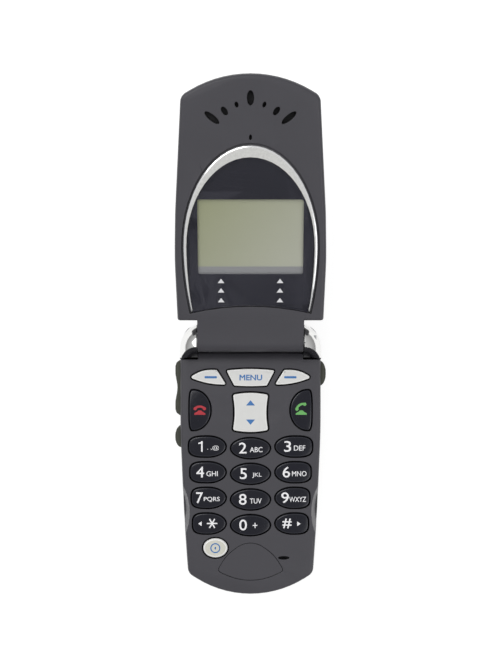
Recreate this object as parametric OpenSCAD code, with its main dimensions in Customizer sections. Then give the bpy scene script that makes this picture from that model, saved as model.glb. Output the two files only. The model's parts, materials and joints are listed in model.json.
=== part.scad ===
// Clamshell mobile phone, open on its back: hinged lid, keypad base, every inner piece.
// Row frame: X to the right, Y towards the hinge and earpiece, Z up out of the keypad.
// The origin is the middle of the base's flat back.

/* [Base] */
// Length from the hinge axis to the bottom end
base_len = 79.2; // [72:0.1:90]
// Half width at the hinge end
base_half_w = 22.2; // [20:0.1:26]
// Height of the keypad face above the back
face_z = 16.3; // [15.5:0.1:19]
// Height of the parting line between the two housings
part_z = 8.2; // [8:0.1:8.6]
// Wall thickness of the housings
wall = 1.5; // [1.2:0.1:1.8]
// Thickness of the keypad face
plate_t = 2.1; // [1.8:0.1:2.3]
// Depth of the battery door
door_t = 1.2; // [1:0.1:1.4]
// Depth of the thumb scallops in the face's long edges
scallop_depth = 1.3; // [0.8:0.1:1.8]

/* [Lid] */
// Length from the hinge axis to the lid's free end
lid_len = 79.8; // [74:0.1:90]
// Widest half width of the lid
lid_half_w = 22.7; // [20.5:0.1:26]
// Opening angle between closed and fully open
open_angle = 165; // [150:1:172]
// Height of the inner face above the lid's hinge plane
inner_v = 3.5; // [3.3:0.1:3.9]
// Depth of the outer face below the lid's hinge plane
outer_v = 4.5; // [4.2:0.1:5]
// Rise of the outer face's crown
crown = 0.7; // [0.2:0.1:1.2]
// Wall thickness of the lid covers
lid_wall = 1.3; // [1:0.1:1.6]
// Gap between the keypad face and the closed lid
closed_gap = 0.8; // [0.7:0.1:1.2]

/* [Hinge] */
// Radius of the lid's hinge barrel
barrel_r = 3.55; // [3.4:0.05:3.8]
// Half length of the barrel
barrel_half = 16.1; // [14:0.1:18]
// Radius of the domed ears at either side of the barrel
ear_r = 5.7; // [5.4:0.1:6.2]
// Thickness of the plated caps over the ears
cap_t = 1.0; // [0.7:0.1:1.3]
// Running clearance round the hinge shaft and bush
run_gap = 0.05; // [0.02:0.01:0.08]

/* [Display] */
// Half width of the silver arch round the window
arch_half_w = 20.2; // [18:0.1:21]
// Height of the silver arch above its widest line
arch_rise = 30.3; // [26:0.1:32]
// Width of the silver arch at its sides
arch_side_w = 1.2; // [0.8:0.1:1.8]
// Width of the silver arch at its crown
arch_top_w = 3.7; // [2:0.1:4.5]
// Half width of the display window
window_half_w = 15.7; // [12:0.1:16.5]
// Height of the display window
window_h = 22.4; // [16:0.1:23]

/* [Keys] */
// Distance between the rows of number keys
row_pitch = 7.95; // [7.5:0.05:8.4]
// Distance from the hinge axis to the first row of number keys
first_row = 33.4; // [33:0.1:34]
// Gap between a key and its opening
key_gap = 0.3; // [0.15:0.05:0.4]
// Height of a key's crest above the face
key_proud = 0.45; // [0.2:0.05:0.6]
// Travel of a key
key_travel = 0.4; // [0.2:0.05:0.42]
// Height of the side keys above the housing's flank
side_key_proud = 1.5; // [0.8:0.1:2]

/* [Hidden] */
$fn = 64;

eps = 0.01;          // overlap that keeps cuts and unions clean
seat_gap = 0.1;      // gap round a piece that drops into a pocket
skin_gap = 0.08;     // gap between a plated cap and its core
hinge_y = (base_len - ear_r) / 2;
hinge_z = face_z + closed_gap + inner_v;
lid_tilt = 180 - open_angle;
plate_z = face_z - plate_t;

charcoal = [0.27, 0.27, 0.29];
key_black = [0.10, 0.10, 0.13];
silver = [0.82, 0.82, 0.80];
chrome = [0.86, 0.86, 0.86];
steel = [0.62, 0.63, 0.65];
board_green = [0.10, 0.33, 0.20];
amber = [0.80, 0.50, 0.18];
glass_tint = [0.30, 0.31, 0.38];

// ---------------------------------------------------------------- outlines

function unit(v) = v / norm(v);
function cross2(a, b) = a[0] * b[1] - a[1] * b[0];
function wrap180(a) = a > 180 ? a - 360 : (a < -180 ? a + 360 : a);
function xy(c) = [c[0], c[1]];

// Arc that rounds the corner p1 between p0 and p2, as n + 1 points.
function corner_arc(p0, p1, p2, r, n) =
    let (a = unit(p0 - p1), b = unit(p2 - p1), half = acos(a * b) / 2,
         c = p1 + unit(a + b) * r / sin(half), s = p1 + a * r / tan(half) - c,
         e = p1 + b * r / tan(half) - c, from = atan2(s[1], s[0]),
         turn = wrap180(atan2(e[1], e[0]) - from))
    [for (i = [0:n]) c + r * [cos(from + turn * i / n), sin(from + turn * i / n)]];

// Corners [x, y, radius, segments], moved inwards by d, with their radii kept parallel.
function inset_corners(cs, d) =
    let (m = len(cs))
    [for (i = [0:m - 1])
        let (p0 = xy(cs[(i + m - 1) % m]), p1 = xy(cs[i]), p2 = xy(cs[(i + 1) % m]),
             e1 = unit(p1 - p0), e2 = unit(p2 - p1), n1 = [-e1[1], e1[0]],
             n2 = [-e2[1], e2[0]], q = p1 + d * (n1 + n2) / (1 + n1 * n2),
             convex = cross2(e1, e2) > 0,
             r = convex ? max(cs[i][2] - d, 0.08) : cs[i][2] + d)
        [q[0], q[1], r, cs[i][3]]];

// How far a corner's rounding of radius r reaches along its edges.
function rounding_reach(p0, p1, p2, r) = r / tan(acos(unit(p0 - p1) * unit(p2 - p1)) / 2);

// The same corners, with each radius limited so that neighbouring roundings share their edge.
function fitted(cs) =
    let (m = len(cs), at = [for (c = cs) xy(c)],
         reach = [for (i = [0:m - 1])
             rounding_reach(at[(i + m - 1) % m], at[i], at[(i + 1) % m], cs[i][2])],
         share = [for (i = [0:m - 1])
             norm(at[(i + 1) % m] - at[i]) / (reach[i] + reach[(i + 1) % m])])
    [for (i = [0:m - 1])
        [at[i][0], at[i][1], cs[i][2] * min(1, 0.98 * share[i], 0.98 * share[(i + m - 1) % m]),
         cs[i][3]]];

// Points of a closed outline with round corners, d inside its corner polygon.
function outline(cs, d = 0) =
    let (k = fitted(inset_corners(cs, d)), m = len(k))
    [for (i = [0:m - 1])
        each corner_arc(xy(k[(i + m - 1) % m]), xy(k[i]), xy(k[(i + 1) % m]), k[i][2], k[i][3])];

// A right half from bottom to top, completed by its mirror image. A corner on x = 0 is kept single.
function both_sides(half) =
    concat(half, [for (i = [len(half) - 1:-1:0]) if (abs(half[i][0]) > eps)
        [-half[i][0], half[i][1], half[i][2], half[i][3]]]);

function ring_at(pts, z) = [for (p = pts) [p[0], p[1], z]];
function ring_scaled(pts, s, c, z) = [for (p = pts) [c[0] + s * (p[0] - c[0]),
                                                   c[1] + s * (p[1] - c[1]), z]];
function centre_of(ring) = let (m = len(ring), s = [for (i = 0, t = ring[0]; i < m;
    i = i + 1, t = t + (i < m ? ring[i] : [0, 0, 0])) t]) s[m - 1] / m;

// Closed skin through rings of equal point count, capped from each end ring's centre.
module loft(rings) {
    m = len(rings[0]);
    k = len(rings);
    points = concat([for (r = rings) each r], [centre_of(rings[0]), centre_of(rings[k - 1])]);
    sides = [for (j = [0:k - 2], i = [0:m - 1])
        each let (a = j * m + i, b = j * m + (i + 1) % m)
            [[a, a + m, b], [b, a + m, b + m]]];
    caps = [for (i = [0:m - 1])
        each let (n = (i + 1) % m, t = (k - 1) * m)
            [[k * m, i, n], [k * m + 1, t + n, t + i]]];
    polyhedron(points = points, faces = concat(sides, caps), convexity = 6);
}

function ellipse_pts(c, a, b, n = 36) = [for (i = [0:n - 1])
    c + [a * cos(360 * i / n), b * sin(360 * i / n)]];

// ---------------------------------------------------------------- base outlines

function yb(d) = hinge_y - d;          // row Y of a point d below the hinge axis
base_end_r = 32;                       // radius of the rounded bottom end
end_slope = 32;                        // angle of the end's flanks
end_apex = base_len + base_end_r * (1 / cos(end_slope) - 1);
end_corner_x = base_half_w - 2.4;
end_corner_d = end_apex - end_corner_x * tan(end_slope);
mid_x = base_half_w - 1.1;             // half width where the flanks begin to taper
mid_d = 0.68 * base_len;

// Right half of the base's corners, from the bottom apex up to the hinge end at distance top_d.
function base_half(top_d, top_r, top_n) = [
    [0, yb(end_apex), base_end_r, 14],
    [end_corner_x, yb(end_corner_d), 3.5, 6],
    [mid_x, yb(mid_d), 150, 2],
    [base_half_w, yb(0.36 * base_len), 200, 2],
    [base_half_w, yb(top_d), top_r, top_n]];

base_corners = both_sides(base_half(-ear_r, ear_r, 7));
front_top_d = 3.6;                     // where the keypad face dips under the barrel
front_corners = both_sides(base_half(front_top_d, 0.4, 2));
face_inset = 1.1;                      // how far the face's flat lies inside the parting line
back_inset = 3.2;                      // how far the back's flat lies inside the outline
ear_centre_x = base_half_w - ear_r;    // middle of an ear's dome

// ---------------------------------------------------------------- key outlines

// Egg-shaped key about c: elliptical on the side that faces the phone's middle, blunt outside.
// outwards is 1 for a key on the right, -1 on the left; blunt is the outer half's squareness.
function egg(c, inner, outer, half_h, blunt, outwards, grow = 0) =
    let (n = 36)
    [for (i = [0:n - 1])
        let (t = 360 * i / n, side = outwards * cos(t), k = side > 0 ? 2 / blunt : 1,
             reach = (side > 0 ? outer : inner) + grow)
        c + [sign(cos(t)) * reach * pow(abs(cos(t)), k),
             sign(sin(t)) * (half_h + grow) * pow(abs(sin(t)), k)]];

// Number keys: columns -1, 0 and 1, rows 0 to 3, following the face's taper.
side_key_tip = 7.6;
side_key_out = base_half_w - 3.0;
side_key_crown = side_key_tip + 0.483 * (side_key_out - side_key_tip); // where it is tallest
side_row_lift = 0.5;
row_taper = 0.42;
number_half_h = 3.2;
function number_key(col, row, grow = 0) =
    let (y = yb(first_row + row * row_pitch), out = side_key_out - row * row_taper)
    col == 0 ? ellipse_pts([0, y], 6.15 + grow, number_half_h + grow)
    : egg([col * side_key_crown, y + side_row_lift], side_key_crown - side_key_tip,
          out - side_key_crown, number_half_h, 3.2, col, grow);

function call_key(side, grow = 0) =
    egg([side * (base_half_w - 4.5), yb(21.6)], 5.4, 1.3, 6.3, 3.5, side, grow);

// Mirror image in X, kept anticlockwise.
function mirrored(cs) = [for (i = [len(cs) - 1:-1:0]) [-cs[i][0], cs[i][1], cs[i][2], cs[i][3]]];

softkey_out = base_half_w - 3.0;
softkey_corners = [[7.3, yb(13.85), 0.5, 3], [(7.3 + softkey_out) / 2, yb(13.6), 24, 5],
                   [softkey_out, yb(11.5), 0.6, 5], [softkey_out - 4.3, yb(8.9), 10, 5],
                   [10.4, yb(9.0), 0.5, 3]];
menu_corners = [[-5.1, yb(14.1), 0.6, 3], [0, yb(14.35), 60, 3], [5.1, yb(14.1), 0.6, 3],
                [7.7, yb(9.15), 0.5, 3], [0, yb(8.4), 60, 5], [-7.7, yb(9.15), 0.5, 3]];
nav_corners = [[-5.6, yb(27.9), 0.8, 4], [0, yb(28.8), 24, 6], [5.6, yb(27.9), 0.8, 4],
               [4.7, yb(22.3), 24, 6], [5.6, yb(16.7), 0.8, 4], [0, yb(15.8), 24, 6],
               [-5.6, yb(16.7), 0.8, 4], [-4.7, yb(22.3), 24, 6]];
last_row = first_row + 3 * row_pitch;  // distance of the last row of number keys
power_d = last_row + 7.05;
power_at = [11.3 - base_half_w, yb(power_d)];
inlay_top = last_row + 3.95;           // the inlay's apexes before they are rounded
inlay_end = base_len - 3.1;
inlay_corners = both_sides([[0, yb(inlay_end), 18, 8],
                            [base_half_w - 11.9, yb(inlay_end - 4.7), 0.9, 4],
                            [base_half_w - 14.8, yb(inlay_top + 5.4), 12, 4],
                            [0, yb(inlay_top), 7, 8]]);
mic_at = [base_half_w - 11.9, yb(base_len - 11.8)];

NUMBER_NAMES = [["key_1", -1, 0], ["key_2", 0, 0], ["key_3", 1, 0],
                ["key_4", -1, 1], ["key_5", 0, 1], ["key_6", 1, 1],
                ["key_7", -1, 2], ["key_8", 0, 2], ["key_9", 1, 2],
                ["key_star", -1, 3], ["key_0", 0, 3], ["key_hash", 1, 3]];

// Every key's outline, in the order of NODES, from the softkeys to the hash key and power key.
key_count = 5 + len(NUMBER_NAMES) + 1;
function key_points(i, grow = 0) =
    i == 0 ? outline(mirrored(softkey_corners), -grow)
    : i == 1 ? outline(menu_corners, -grow)
    : i == 2 ? outline(softkey_corners, -grow)
    : i == 3 ? call_key(-1, grow)
    : i == 4 ? call_key(1, grow)
    : i < key_count - 1 ? number_key(NUMBER_NAMES[i - 5][1], NUMBER_NAMES[i - 5][2], grow)
    : ellipse_pts(power_at, 3.9 + grow, 3.1 + grow);
function middle(pts) = [for (a = [0, 1])
    (min([for (q = pts) q[a]]) + max([for (q = pts) q[a]])) / 2];
KEY_CENTRES = [for (i = [0:key_count - 1]) middle(key_points(i))];
nav_at = [0, yb(22.3)];
nav_dome_reach = 4;                    // the rocker's two domes lie this far from its middle
call_dome_x = 14.2;                    // the call keys' domes stand inside their middles
STEMS = [for (c = KEY_CENTRES) [sign(c[0]) * min(abs(c[0]), call_dome_x), c[1]]];
DOMES = concat(STEMS, [nav_at + [0, nav_dome_reach], nav_at - [0, nav_dome_reach]]);

// ---------------------------------------------------------------- stack inside the base

deck_z = 6.7;                          // underside of the deck over the battery
deck_t = 1.0;
deck_top = deck_z + deck_t;
board_z = 10.0;                        // underside of the main board
board_t = 1.0;
board_top = board_z + board_t;
dome_t = 0.12;
dome_h = 0.3;
mat_z = board_top + 0.6;
mat_t = 0.8;
flange_t = 0.8;
flange_z = plate_z - flange_t - 0.05;  // underside of a key's retaining flange
flange_reach = 0.5;
bay_top_d = 18;                        // battery bay, from and to these distances
bay_end_d = base_len - 12.2;
bay_half_w = base_half_w - 6.6;
// middles of the screws: across, and below the hinge axis
screws = [for (s = [1, -1]) each [[s * (base_half_w - 8.2), 6.4],
                                  [s * (base_half_w - 10.2), base_len - 8.2]]];
boss_r = 1.9;
stud_r = 1.45;                         // the boss where it passes the board
screw_r = 0.8;
head_r = 1.6;
head_t = 1.2;
head_z = 1.3;                          // outer face of a screw's head

// The crest of a ball of radius r, with its top at the origin: depth deep and reach in radius.
module cap(r, reach, depth) {
    rotate_extrude() intersection() {
        translate([0, -r]) circle(r, $fn = 1440);
        translate([0, -depth]) square([reach, 2 * depth]);
    }
}

module side_extrude(half_x) {
    rotate([90, 0, 90]) linear_extrude(2 * half_x, center = true) children();
}

// ---------------------------------------------------------------- ears

ear_x = barrel_half + 0.3;             // inner face of an ear
ear_drop = 0.8;                        // centre of the ear's dome below the hinge axis
ear_z = hinge_z - ear_drop;
ear_front_d = 5.8;                     // foot of the ear's sloping front
ear_crest_d = 2.9;                     // crest of that slope
cap_foot_z = face_z - 4.4;             // lower edge of the plated cap

// Right ear: a dome of radius r that runs forwards and down into the base.
module ear_form(r, foot_z) {
    intersection() {
        union() {
            translate([ear_centre_x, hinge_y, ear_z]) sphere(r);
            translate([ear_centre_x, hinge_y, ear_z]) rotate([90, 0, 0])
                cylinder(r = r, h = ear_front_d);
            translate([ear_centre_x, hinge_y, foot_z]) cylinder(r = r, h = ear_z - foot_z);
            translate([ear_centre_x - r, yb(ear_front_d), foot_z])
                cube([2 * r, ear_front_d, ear_z - foot_z]);
        }
        translate([ear_x, yb(ear_front_d), foot_z - eps])
            cube([2 * ear_r, 4 * ear_r, 4 * ear_r]);
        side_extrude(3 * base_half_w)
            polygon([[yb(ear_front_d), foot_z - 1], [yb(ear_front_d), face_z],
                     [yb(ear_crest_d), ear_z + ear_r], [yb(-2 * ear_r), ear_z + ear_r],
                     [yb(-2 * ear_r), foot_z - 1]]);
    }
}

module hinge_cap() {
    color(chrome) difference() {
        ear_form(ear_r, cap_foot_z);
        ear_form(ear_r - cap_t, cap_foot_z - 1);
    }
}

// ---------------------------------------------------------------- housings

module scallops() {
    r = 18.2;
    lean = 12;
    for (s = [-1, 1]) scale([s, 1, 1])
        translate([mid_x - face_inset / 2 - scallop_depth + r, yb(53.3), face_z])
            rotate([0, -lean, 0]) cylinder(r = r, h = 16, center = true);
}

module side_key_openings() {
    for (k = side_keys)
        translate([k[0] * base_half_w, yb(k[2]), side_key_z])
            cube([5, k[1] + 0.3, side_key_h + 0.3], center = true);
}

// Shallow oval dish in the face round the rocker.
module rocker_dish() {
    oval = [10, 4.3];
    loft([for (k = [[1.08, 0.03], [1, 0], [0.8, -0.22], [0.4, -0.4]])
          ring_at(ellipse_pts(nav_at, oval[0] * k[0], oval[1] * k[0], 32), face_z + k[1])]);
}

module through_face(pts) {
    translate([0, 0, plate_z - 1]) linear_extrude(plate_t + 2) polygon(pts);
}

// Rounded dip of the face's hinge edge, under the barrel.
module face_roll_off() {
    r = 3.2;
    side_extrude(ear_x + 1) difference() {
        translate([yb(front_top_d + r), face_z - r]) square([r + 1, r + 1]);
        translate([yb(front_top_d + r), face_z - r]) circle(r);
    }
}

module front_housing() {
    color(charcoal) difference() {
        loft([ring_at(outline(front_corners, wall + 0.5), plate_z),
              ring_at(outline(front_corners, wall), part_z),
              ring_at(outline(front_corners, 0), part_z),
              ring_at(outline(front_corners, 0.15), part_z + 3),
              ring_at(outline(front_corners, 0.4), face_z - 1.2),
              ring_at(outline(front_corners, 0.6), face_z - 0.5),
              ring_at(outline(front_corners, 0.85), face_z - 0.15),
              ring_at(outline(front_corners, face_inset + 0.15), face_z)]);
        for (s = [-1, 1]) translate([s * (ear_x - seat_gap), yb(ear_front_d + seat_gap), 0])
            scale([s, 1, 1]) cube([10, 20, 2 * face_z]);
        face_roll_off();
        for (i = [0:key_count - 1]) through_face(key_points(i, key_gap));
        through_face(outline(nav_corners, -key_gap - 0.1));
        through_face(ellipse_pts(mic_at, 1.75, 0.5, 20));
        translate([0, 0, face_z - inlay_t]) linear_extrude(2)
            polygon(outline(inlay_corners, -seat_gap));
        rocker_dish();
        scallops();
        side_key_openings();
        translate([0, yb(base_len), board_top + connector_h / 2])
            cube([connector_w + 0.2, 8, connector_h + 0.2], center = true);
        jack_room();
    }
    color(charcoal) for (s = screws) translate([s[0], yb(s[1]), 0]) difference() {
        union() {
            translate([0, 0, board_top]) cylinder(r = boss_r, h = plate_z + eps - board_top);
            translate([0, 0, deck_top]) cylinder(r = stud_r, h = board_top + eps - deck_top);
        }
        translate([0, 0, deck_top - eps]) cylinder(r = screw_r + run_gap, h = screw_grip);
    }
}

inlay_t = 0.6;

module face_inlay() {
    color(charcoal) translate([0, 0, face_z - inlay_t]) linear_extrude(inlay_t)
        polygon(outline(inlay_corners, 0));
}

// The back half: flanks, deck over the battery, and the block that carries the hinge's ears.
module rear_shell() {
    hinge_room = outer_v + 0.25;
    difference() {
        loft([ring_at(outline(base_corners, back_inset), 0),
              ring_at(outline(base_corners, 0.6 * back_inset), 0.4),
              ring_at(outline(base_corners, 0.25 * back_inset), 1.4),
              ring_at(outline(base_corners, 0.07 * back_inset), 3.2),
              ring_at(outline(base_corners, 0), 5.5),
              ring_at(outline(base_corners, 0), hinge_z)]);
        // clear of the front housing, and between the ears clear of its hinge edge
        translate([-2 * base_half_w, yb(2 * base_len), part_z])
            cube([4 * base_half_w, 2 * base_len - ear_front_d, hinge_z]);
        translate([-ear_x, yb(ear_front_d + 1), part_z])
            cube([2 * ear_x, ear_front_d + 1 - front_top_d + seat_gap, hinge_z]);
        // the ears' plated caps take over here
        for (s = [-1, 1]) scale([s, 1, 1]) translate([ear_x, yb(ear_front_d + 1), cap_foot_z])
            cube([3 * ear_r, 4 * ear_r, hinge_z]);
        // room for the barrel's turn and for the open lid
        translate([0, hinge_y, hinge_z]) {
            rotate([lid_tilt, 0, 0]) translate([-ear_x - 1, 0, -outer_v - 0.15])
                cube([2 * ear_x + 2, 20, 30]);
            rotate([0, 90, 0]) cylinder(r = hinge_room, h = 2 * ear_x + 2, center = true);
            translate([-ear_x - 1, -10, -hinge_room])
                cube([2 * ear_x + 2, 10 + eps, 20]);
        }
    }
    for (s = [-1, 1]) scale([s, 1, 1])
        ear_form(ear_r - cap_t - skin_gap, cap_foot_z - 1);
}

module rear_housing() {
    color(charcoal) difference() {
        rear_shell();
        // room over the deck, and the battery bay under it
        translate([0, 0, deck_top]) linear_extrude(part_z - deck_top + eps) difference() {
            polygon(outline(base_corners, wall));
            translate([-2 * base_half_w, yb(front_top_d - seat_gap)]) square(4 * base_half_w);
        }
        translate([-bay_half_w, yb(bay_end_d), -1])
            cube([2 * bay_half_w, bay_end_d - bay_top_d, deck_z + 1]);
        translate([0, 0, -1]) linear_extrude(door_t + 1) {
            polygon(outline(door_corners, -seat_gap));
            translate([0, -0.3]) polygon(outline(door_corners, -seat_gap));
        }
        door_tabs(door_tab_r + 0.15, door_tab_half + 0.2);
        translate([-contact_w / 2 - 0.3, yb(bay_top_d + 4.4), deck_z - 1])
            cube([contact_w + 0.6, 3.8, deck_t + 2]);
        // latch pocket, open to the door's edge
        translate([-latch_w / 2 - 0.15, yb(door_top_d) - 1, -1])
            cube([latch_w + 0.3, door_top_d - latch_d + latch_l / 2 + 1.15, latch_t + 1]);
        for (s = screws) translate([s[0], yb(s[1]), 0]) {
            translate([0, 0, -1]) cylinder(r = head_r + 0.15, h = head_z + head_t + 1);
            cylinder(r = screw_r + 0.15, h = 12);
        }
        // hinge seats, and the ribbon's way down the left ear
        translate([ear_x - eps, hinge_y - shaft_key / 2, hinge_z - shaft_key / 2])
            cube([hinge_seat + 0.1, shaft_key, shaft_key]);
        translate([-ear_x - bush_seat - 0.1, hinge_y, hinge_z]) rotate([0, 90, 0])
            cylinder(r = bush_r + run_gap, h = bush_seat + 0.2);
        translate([-ear_x - bush_seat - ribbon_room, hinge_y - 1.4, part_z - 1])
            cube([ribbon_room, 2.8, hinge_z - part_z + 1.5]);
        translate([-ear_x - bush_seat - ribbon_room, yb(8), deck_top])
            cube([ribbon_room, 9.4, 2.3]);
        jack_room();
        translate(antenna_at - [seat_gap, 1, 0]) cube(antenna_size + [2 * seat_gap, 1.1, 0.3]);
    }
}

// ---------------------------------------------------------------- battery, door and latch

latch_w = 11;
latch_l = 4.6;
latch_t = 2.1;
latch_travel = 1.5;
door_top_d = 12.2;
latch_d = door_top_d - seat_gap - latch_l / 2; // middle of the latch, against the door's edge
door_inset = back_inset + 0.7;
door_end_d = base_len - door_inset;
door_tab_r = 0.5;
door_tab_half = 4.5;
door_pivot_z = 1.1;
door_corners = inset_corners(both_sides(base_half(door_top_d - door_inset, 6, 5)), door_inset);

module door_tabs(r, half) {
    translate([0, yb(door_end_d), door_pivot_z]) rotate([0, 90, 0])
        cylinder(r = r, h = 2 * half, center = true);
}

// Row of grip grooves across X, centred on the origin of its own plane.
module grip_grooves(count, pitch, r, half) {
    for (i = [0:count - 1]) translate([0, pitch * (i - (count - 1) / 2), 0.25 - r])
        rotate([0, 90, 0]) cylinder(r = r, h = 2 * half - abs(i - (count - 1) / 2) * 1.5,
                                    center = true);
}

module battery_door() {
    color(charcoal) difference() {
        union() {
            linear_extrude(door_t) polygon(outline(door_corners, 0));
            door_tabs(door_tab_r, door_tab_half);
        }
        translate([0, yb(door_top_d + 7), 0]) grip_grooves(6, 1.5, 0.8, 7);
    }
}

module battery_latch() {
    color(charcoal) translate([0, yb(latch_d), 0]) difference() {
        translate([-latch_w / 2, -latch_l / 2, 0.1])
            cube([latch_w, latch_l - latch_travel, latch_t - 0.1]);
        translate([0, -latch_travel / 2, 0.1]) grip_grooves(3, 0.9, 0.6, 4.5);
    }
}

module battery() {
    w = bay_half_w - 0.3;
    z0 = door_t + seat_gap;
    pocket = [10, 4.4, 0.5];           // where the contacts reach in
    color([0.18, 0.18, 0.20]) difference() {
        translate([-w, yb(bay_end_d - 0.3), z0])
            cube([2 * w, bay_end_d - bay_top_d - 0.6, deck_z - z0]);
        translate([-pocket[0] / 2, yb(bay_top_d + pocket[1]), deck_z - pocket[2]]) cube(pocket);
        for (s = [-1, 1]) translate([s * w, yb(bay_end_d / 2), (z0 + deck_z) / 2])
            cube([0.6, 2 * bay_end_d, 0.5], center = true);
    }
}

contact_w = 8.4;

module battery_contacts() {
    color(amber) {
        translate([-contact_w / 2, yb(bay_top_d + 4.2), deck_z + 0.3])
            cube([contact_w, 3.4, board_z - deck_z - 0.3]);
        for (i = [-1:1]) translate([2.6 * i - 0.5, yb(bay_top_d + 3.6), deck_z - 0.5])
            cube([1, 2.2, 0.8 + eps]);
    }
}

// ---------------------------------------------------------------- electronics of the base

// Flat plate inside the front housing, d within its outline, pierced for the bosses.
module board_outline(d, top_d, end_d, hole_r) {
    difference() {
        polygon(outline(front_corners, d));
        for (s = screws) translate([s[0], yb(s[1])]) circle(hole_r);
        translate([-2 * base_half_w, yb(top_d)]) square(4 * base_half_w);
        translate([-2 * base_half_w, yb(end_d) - 4 * base_half_w]) square(4 * base_half_w);
    }
}

module main_board() {
    color(board_green) translate([0, 0, board_z]) linear_extrude(board_t)
        board_outline(base_half_w - side_switch_x + 0.1, front_top_d + wall + 0.4, base_len,
                      stud_r + 0.15);
}

module can(x, d, w, l) {
    h = board_z - deck_top - 0.2;
    translate([x - w / 2, yb(d + l / 2), board_z - h]) difference() {
        cube([w, l, h]);
        translate([0.3, 0.3, 0.3]) cube([w - 0.6, l - 0.6, h]);
    }
}

module shield_cans() {
    color(steel) {
        can(-9, 38, 15, 26);
        can(9, 34, 15, 18);
        can(9, 55, 15, 18);
    }
}

mat_top_d = 8.6;                       // the mat's and the dome sheet's ends
mat_end_d = power_d + 4.9;
mat_foot = 0.8;                        // width of the mat's two feet across the board

// Outline of the dome sheet and the mat, inside the side switches.
module mat_outline() {
    board_outline(base_half_w - side_switch_x + side_switch_t + 0.2, mat_top_d, mat_end_d,
                  boss_r + 0.2);
}

module dome_sheet() {
    color(steel) {
        translate([0, 0, board_top]) linear_extrude(dome_t) mat_outline();
        for (p = DOMES) translate([p[0], p[1], board_top + dome_t - eps])
            cylinder(r1 = 1.6, r2 = 1.0, h = dome_h + eps);
    }
}

module keypad_mat() {
    dome_top = board_top + dome_t + dome_h;
    color([0.75, 0.75, 0.73]) {
        translate([0, 0, mat_z]) linear_extrude(mat_t) mat_outline();
        for (d = [mat_top_d + 0.5, power_d + 1]) translate([-8, yb(d + 0.4), board_top + dome_t])
            cube([16, mat_foot, mat_z + eps - board_top - dome_t]);
        for (p = DOMES) translate([p[0], p[1], dome_top])
            cylinder(r = 0.9, h = mat_z + eps - dome_top);
    }
}

module microphone() {
    h = 1.5;
    color(steel) translate([mic_at[0], mic_at[1], plate_z - h]) difference() {
        cylinder(r = 1.8, h = h);
        translate([0, 0, h - 0.3]) cylinder(r = 0.5, h = 1);
    }
}

motor_r = 1.4;

module vibration_motor() {
    color(steel) translate([-8.6, yb(base_len - 7), board_top + motor_r]) rotate([0, 90, 0]) {
        cylinder(r = motor_r, h = 7);
        cylinder(r = 0.4, h = 11);
        translate([0, 0, 8]) intersection() {
            cylinder(r = motor_r, h = 2.6);
            translate([-2, -0.2, 0]) cube([4, 4, 4]);
        }
    }
}

jack_x = -9.5;
jack_z = 11.6;
jack_bore_r = 1.3;
jack_len = 10;
jack_nose = 1.4;                       // length and reach of its round mouth in the end wall
jack_size = [6, jack_len - jack_nose, 5.2];
jack_y = hinge_y + ear_r - jack_nose;  // where the body ends and the mouth begins

module headset_jack() {
    color([0.12, 0.12, 0.13]) difference() {
        union() {
            translate([jack_x - jack_size[0] / 2, jack_y - jack_size[1], jack_z - jack_size[2] / 2])
                cube(jack_size);
            translate([jack_x, jack_y - eps, jack_z]) rotate([-90, 0, 0])
                cylinder(r = 1.9, h = jack_nose - 0.1);
        }
        translate([jack_x, jack_y - jack_size[1] - eps, jack_z]) rotate([-90, 0, 0])
            cylinder(r = jack_bore_r, h = jack_len + 2 * eps);
    }
}

// Space for the jack, in both housings.
module jack_room() {
    translate([jack_x - jack_size[0] / 2 - seat_gap, jack_y - jack_size[1] - seat_gap,
               jack_z - jack_size[2] / 2])
        cube([jack_size[0] + 2 * seat_gap, jack_size[1] + seat_gap, jack_size[2] + seat_gap]);
    translate([jack_x, jack_y - 1, jack_z]) rotate([-90, 0, 0]) cylinder(r = 2.0, h = 10);
}

connector_w = 11;
connector_h = 2.5;

module accessory_connector() {
    color([0.12, 0.12, 0.13]) difference() {
        translate([-connector_w / 2, yb(base_len - 0.9), board_top])
            cube([connector_w, 4.4, connector_h]);
        translate([-connector_w / 2 + 0.8, yb(base_len), board_top + 0.55])
            cube([connector_w - 1.6, 4, connector_h - 1.1]);
    }
    color(amber) translate([-4.2, yb(base_len - 1.6), board_top + connector_h / 2 - 0.2])
        cube([8.4, 3, 0.4]);
}

antenna_size = [12.4, 6.6, 2.2];
antenna_at = [3.1, yb(front_top_d) + 0.2, 11];
antenna_t = 0.5;

// Folded sheet, open below, with two slots that make its track a meander.
module internal_antenna() {
    slot_l = antenna_size[1] - 1.6;
    color(amber) translate(antenna_at) difference() {
        cube(antenna_size);
        translate([antenna_t, antenna_t, -antenna_t])
            cube(antenna_size - [2 * antenna_t, 2 * antenna_t, 0]);
        for (k = [1, 2]) translate([antenna_size[0] * k / 3, k == 1 ? -eps : 1.6, 1])
            cube([0.8, slot_l, 2]);
    }
}

// ---------------------------------------------------------------- side keys

side_key_z = 12.3;
side_key_h = 3.6;
// side, length, distance below the hinge axis, number of humps
side_keys = [[-1, 17.4, 14.7, 2], [-1, 6.8, 29.9, 1], [1, 7.8, 10.2, 1]];
side_key_root = 1.7;                   // how far a side key's full height reaches into the wall
side_key_neck = wall + 0.6;            // how far its low neck reaches, past the wall
side_flange = 0.6;                     // thickness of the retaining flange at the neck's end
side_flange_reach = 0.3;
side_flange_h = 1.0;                   // low enough to pass under a pressed key's flange
side_pivot_r = 0.45;                   // upright pin that the two-humped rocker turns on
side_pivot_in = 2.0;                   // its distance inside the housing's flank
side_switch_t = 1.4;
side_switch_h = 1.8;                   // low enough to pass under a pressed soft key
// outer face of the switches under the side keys
side_switch_x = base_half_w - 0.2 - side_key_neck - side_flange - key_travel - 0.1;

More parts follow.
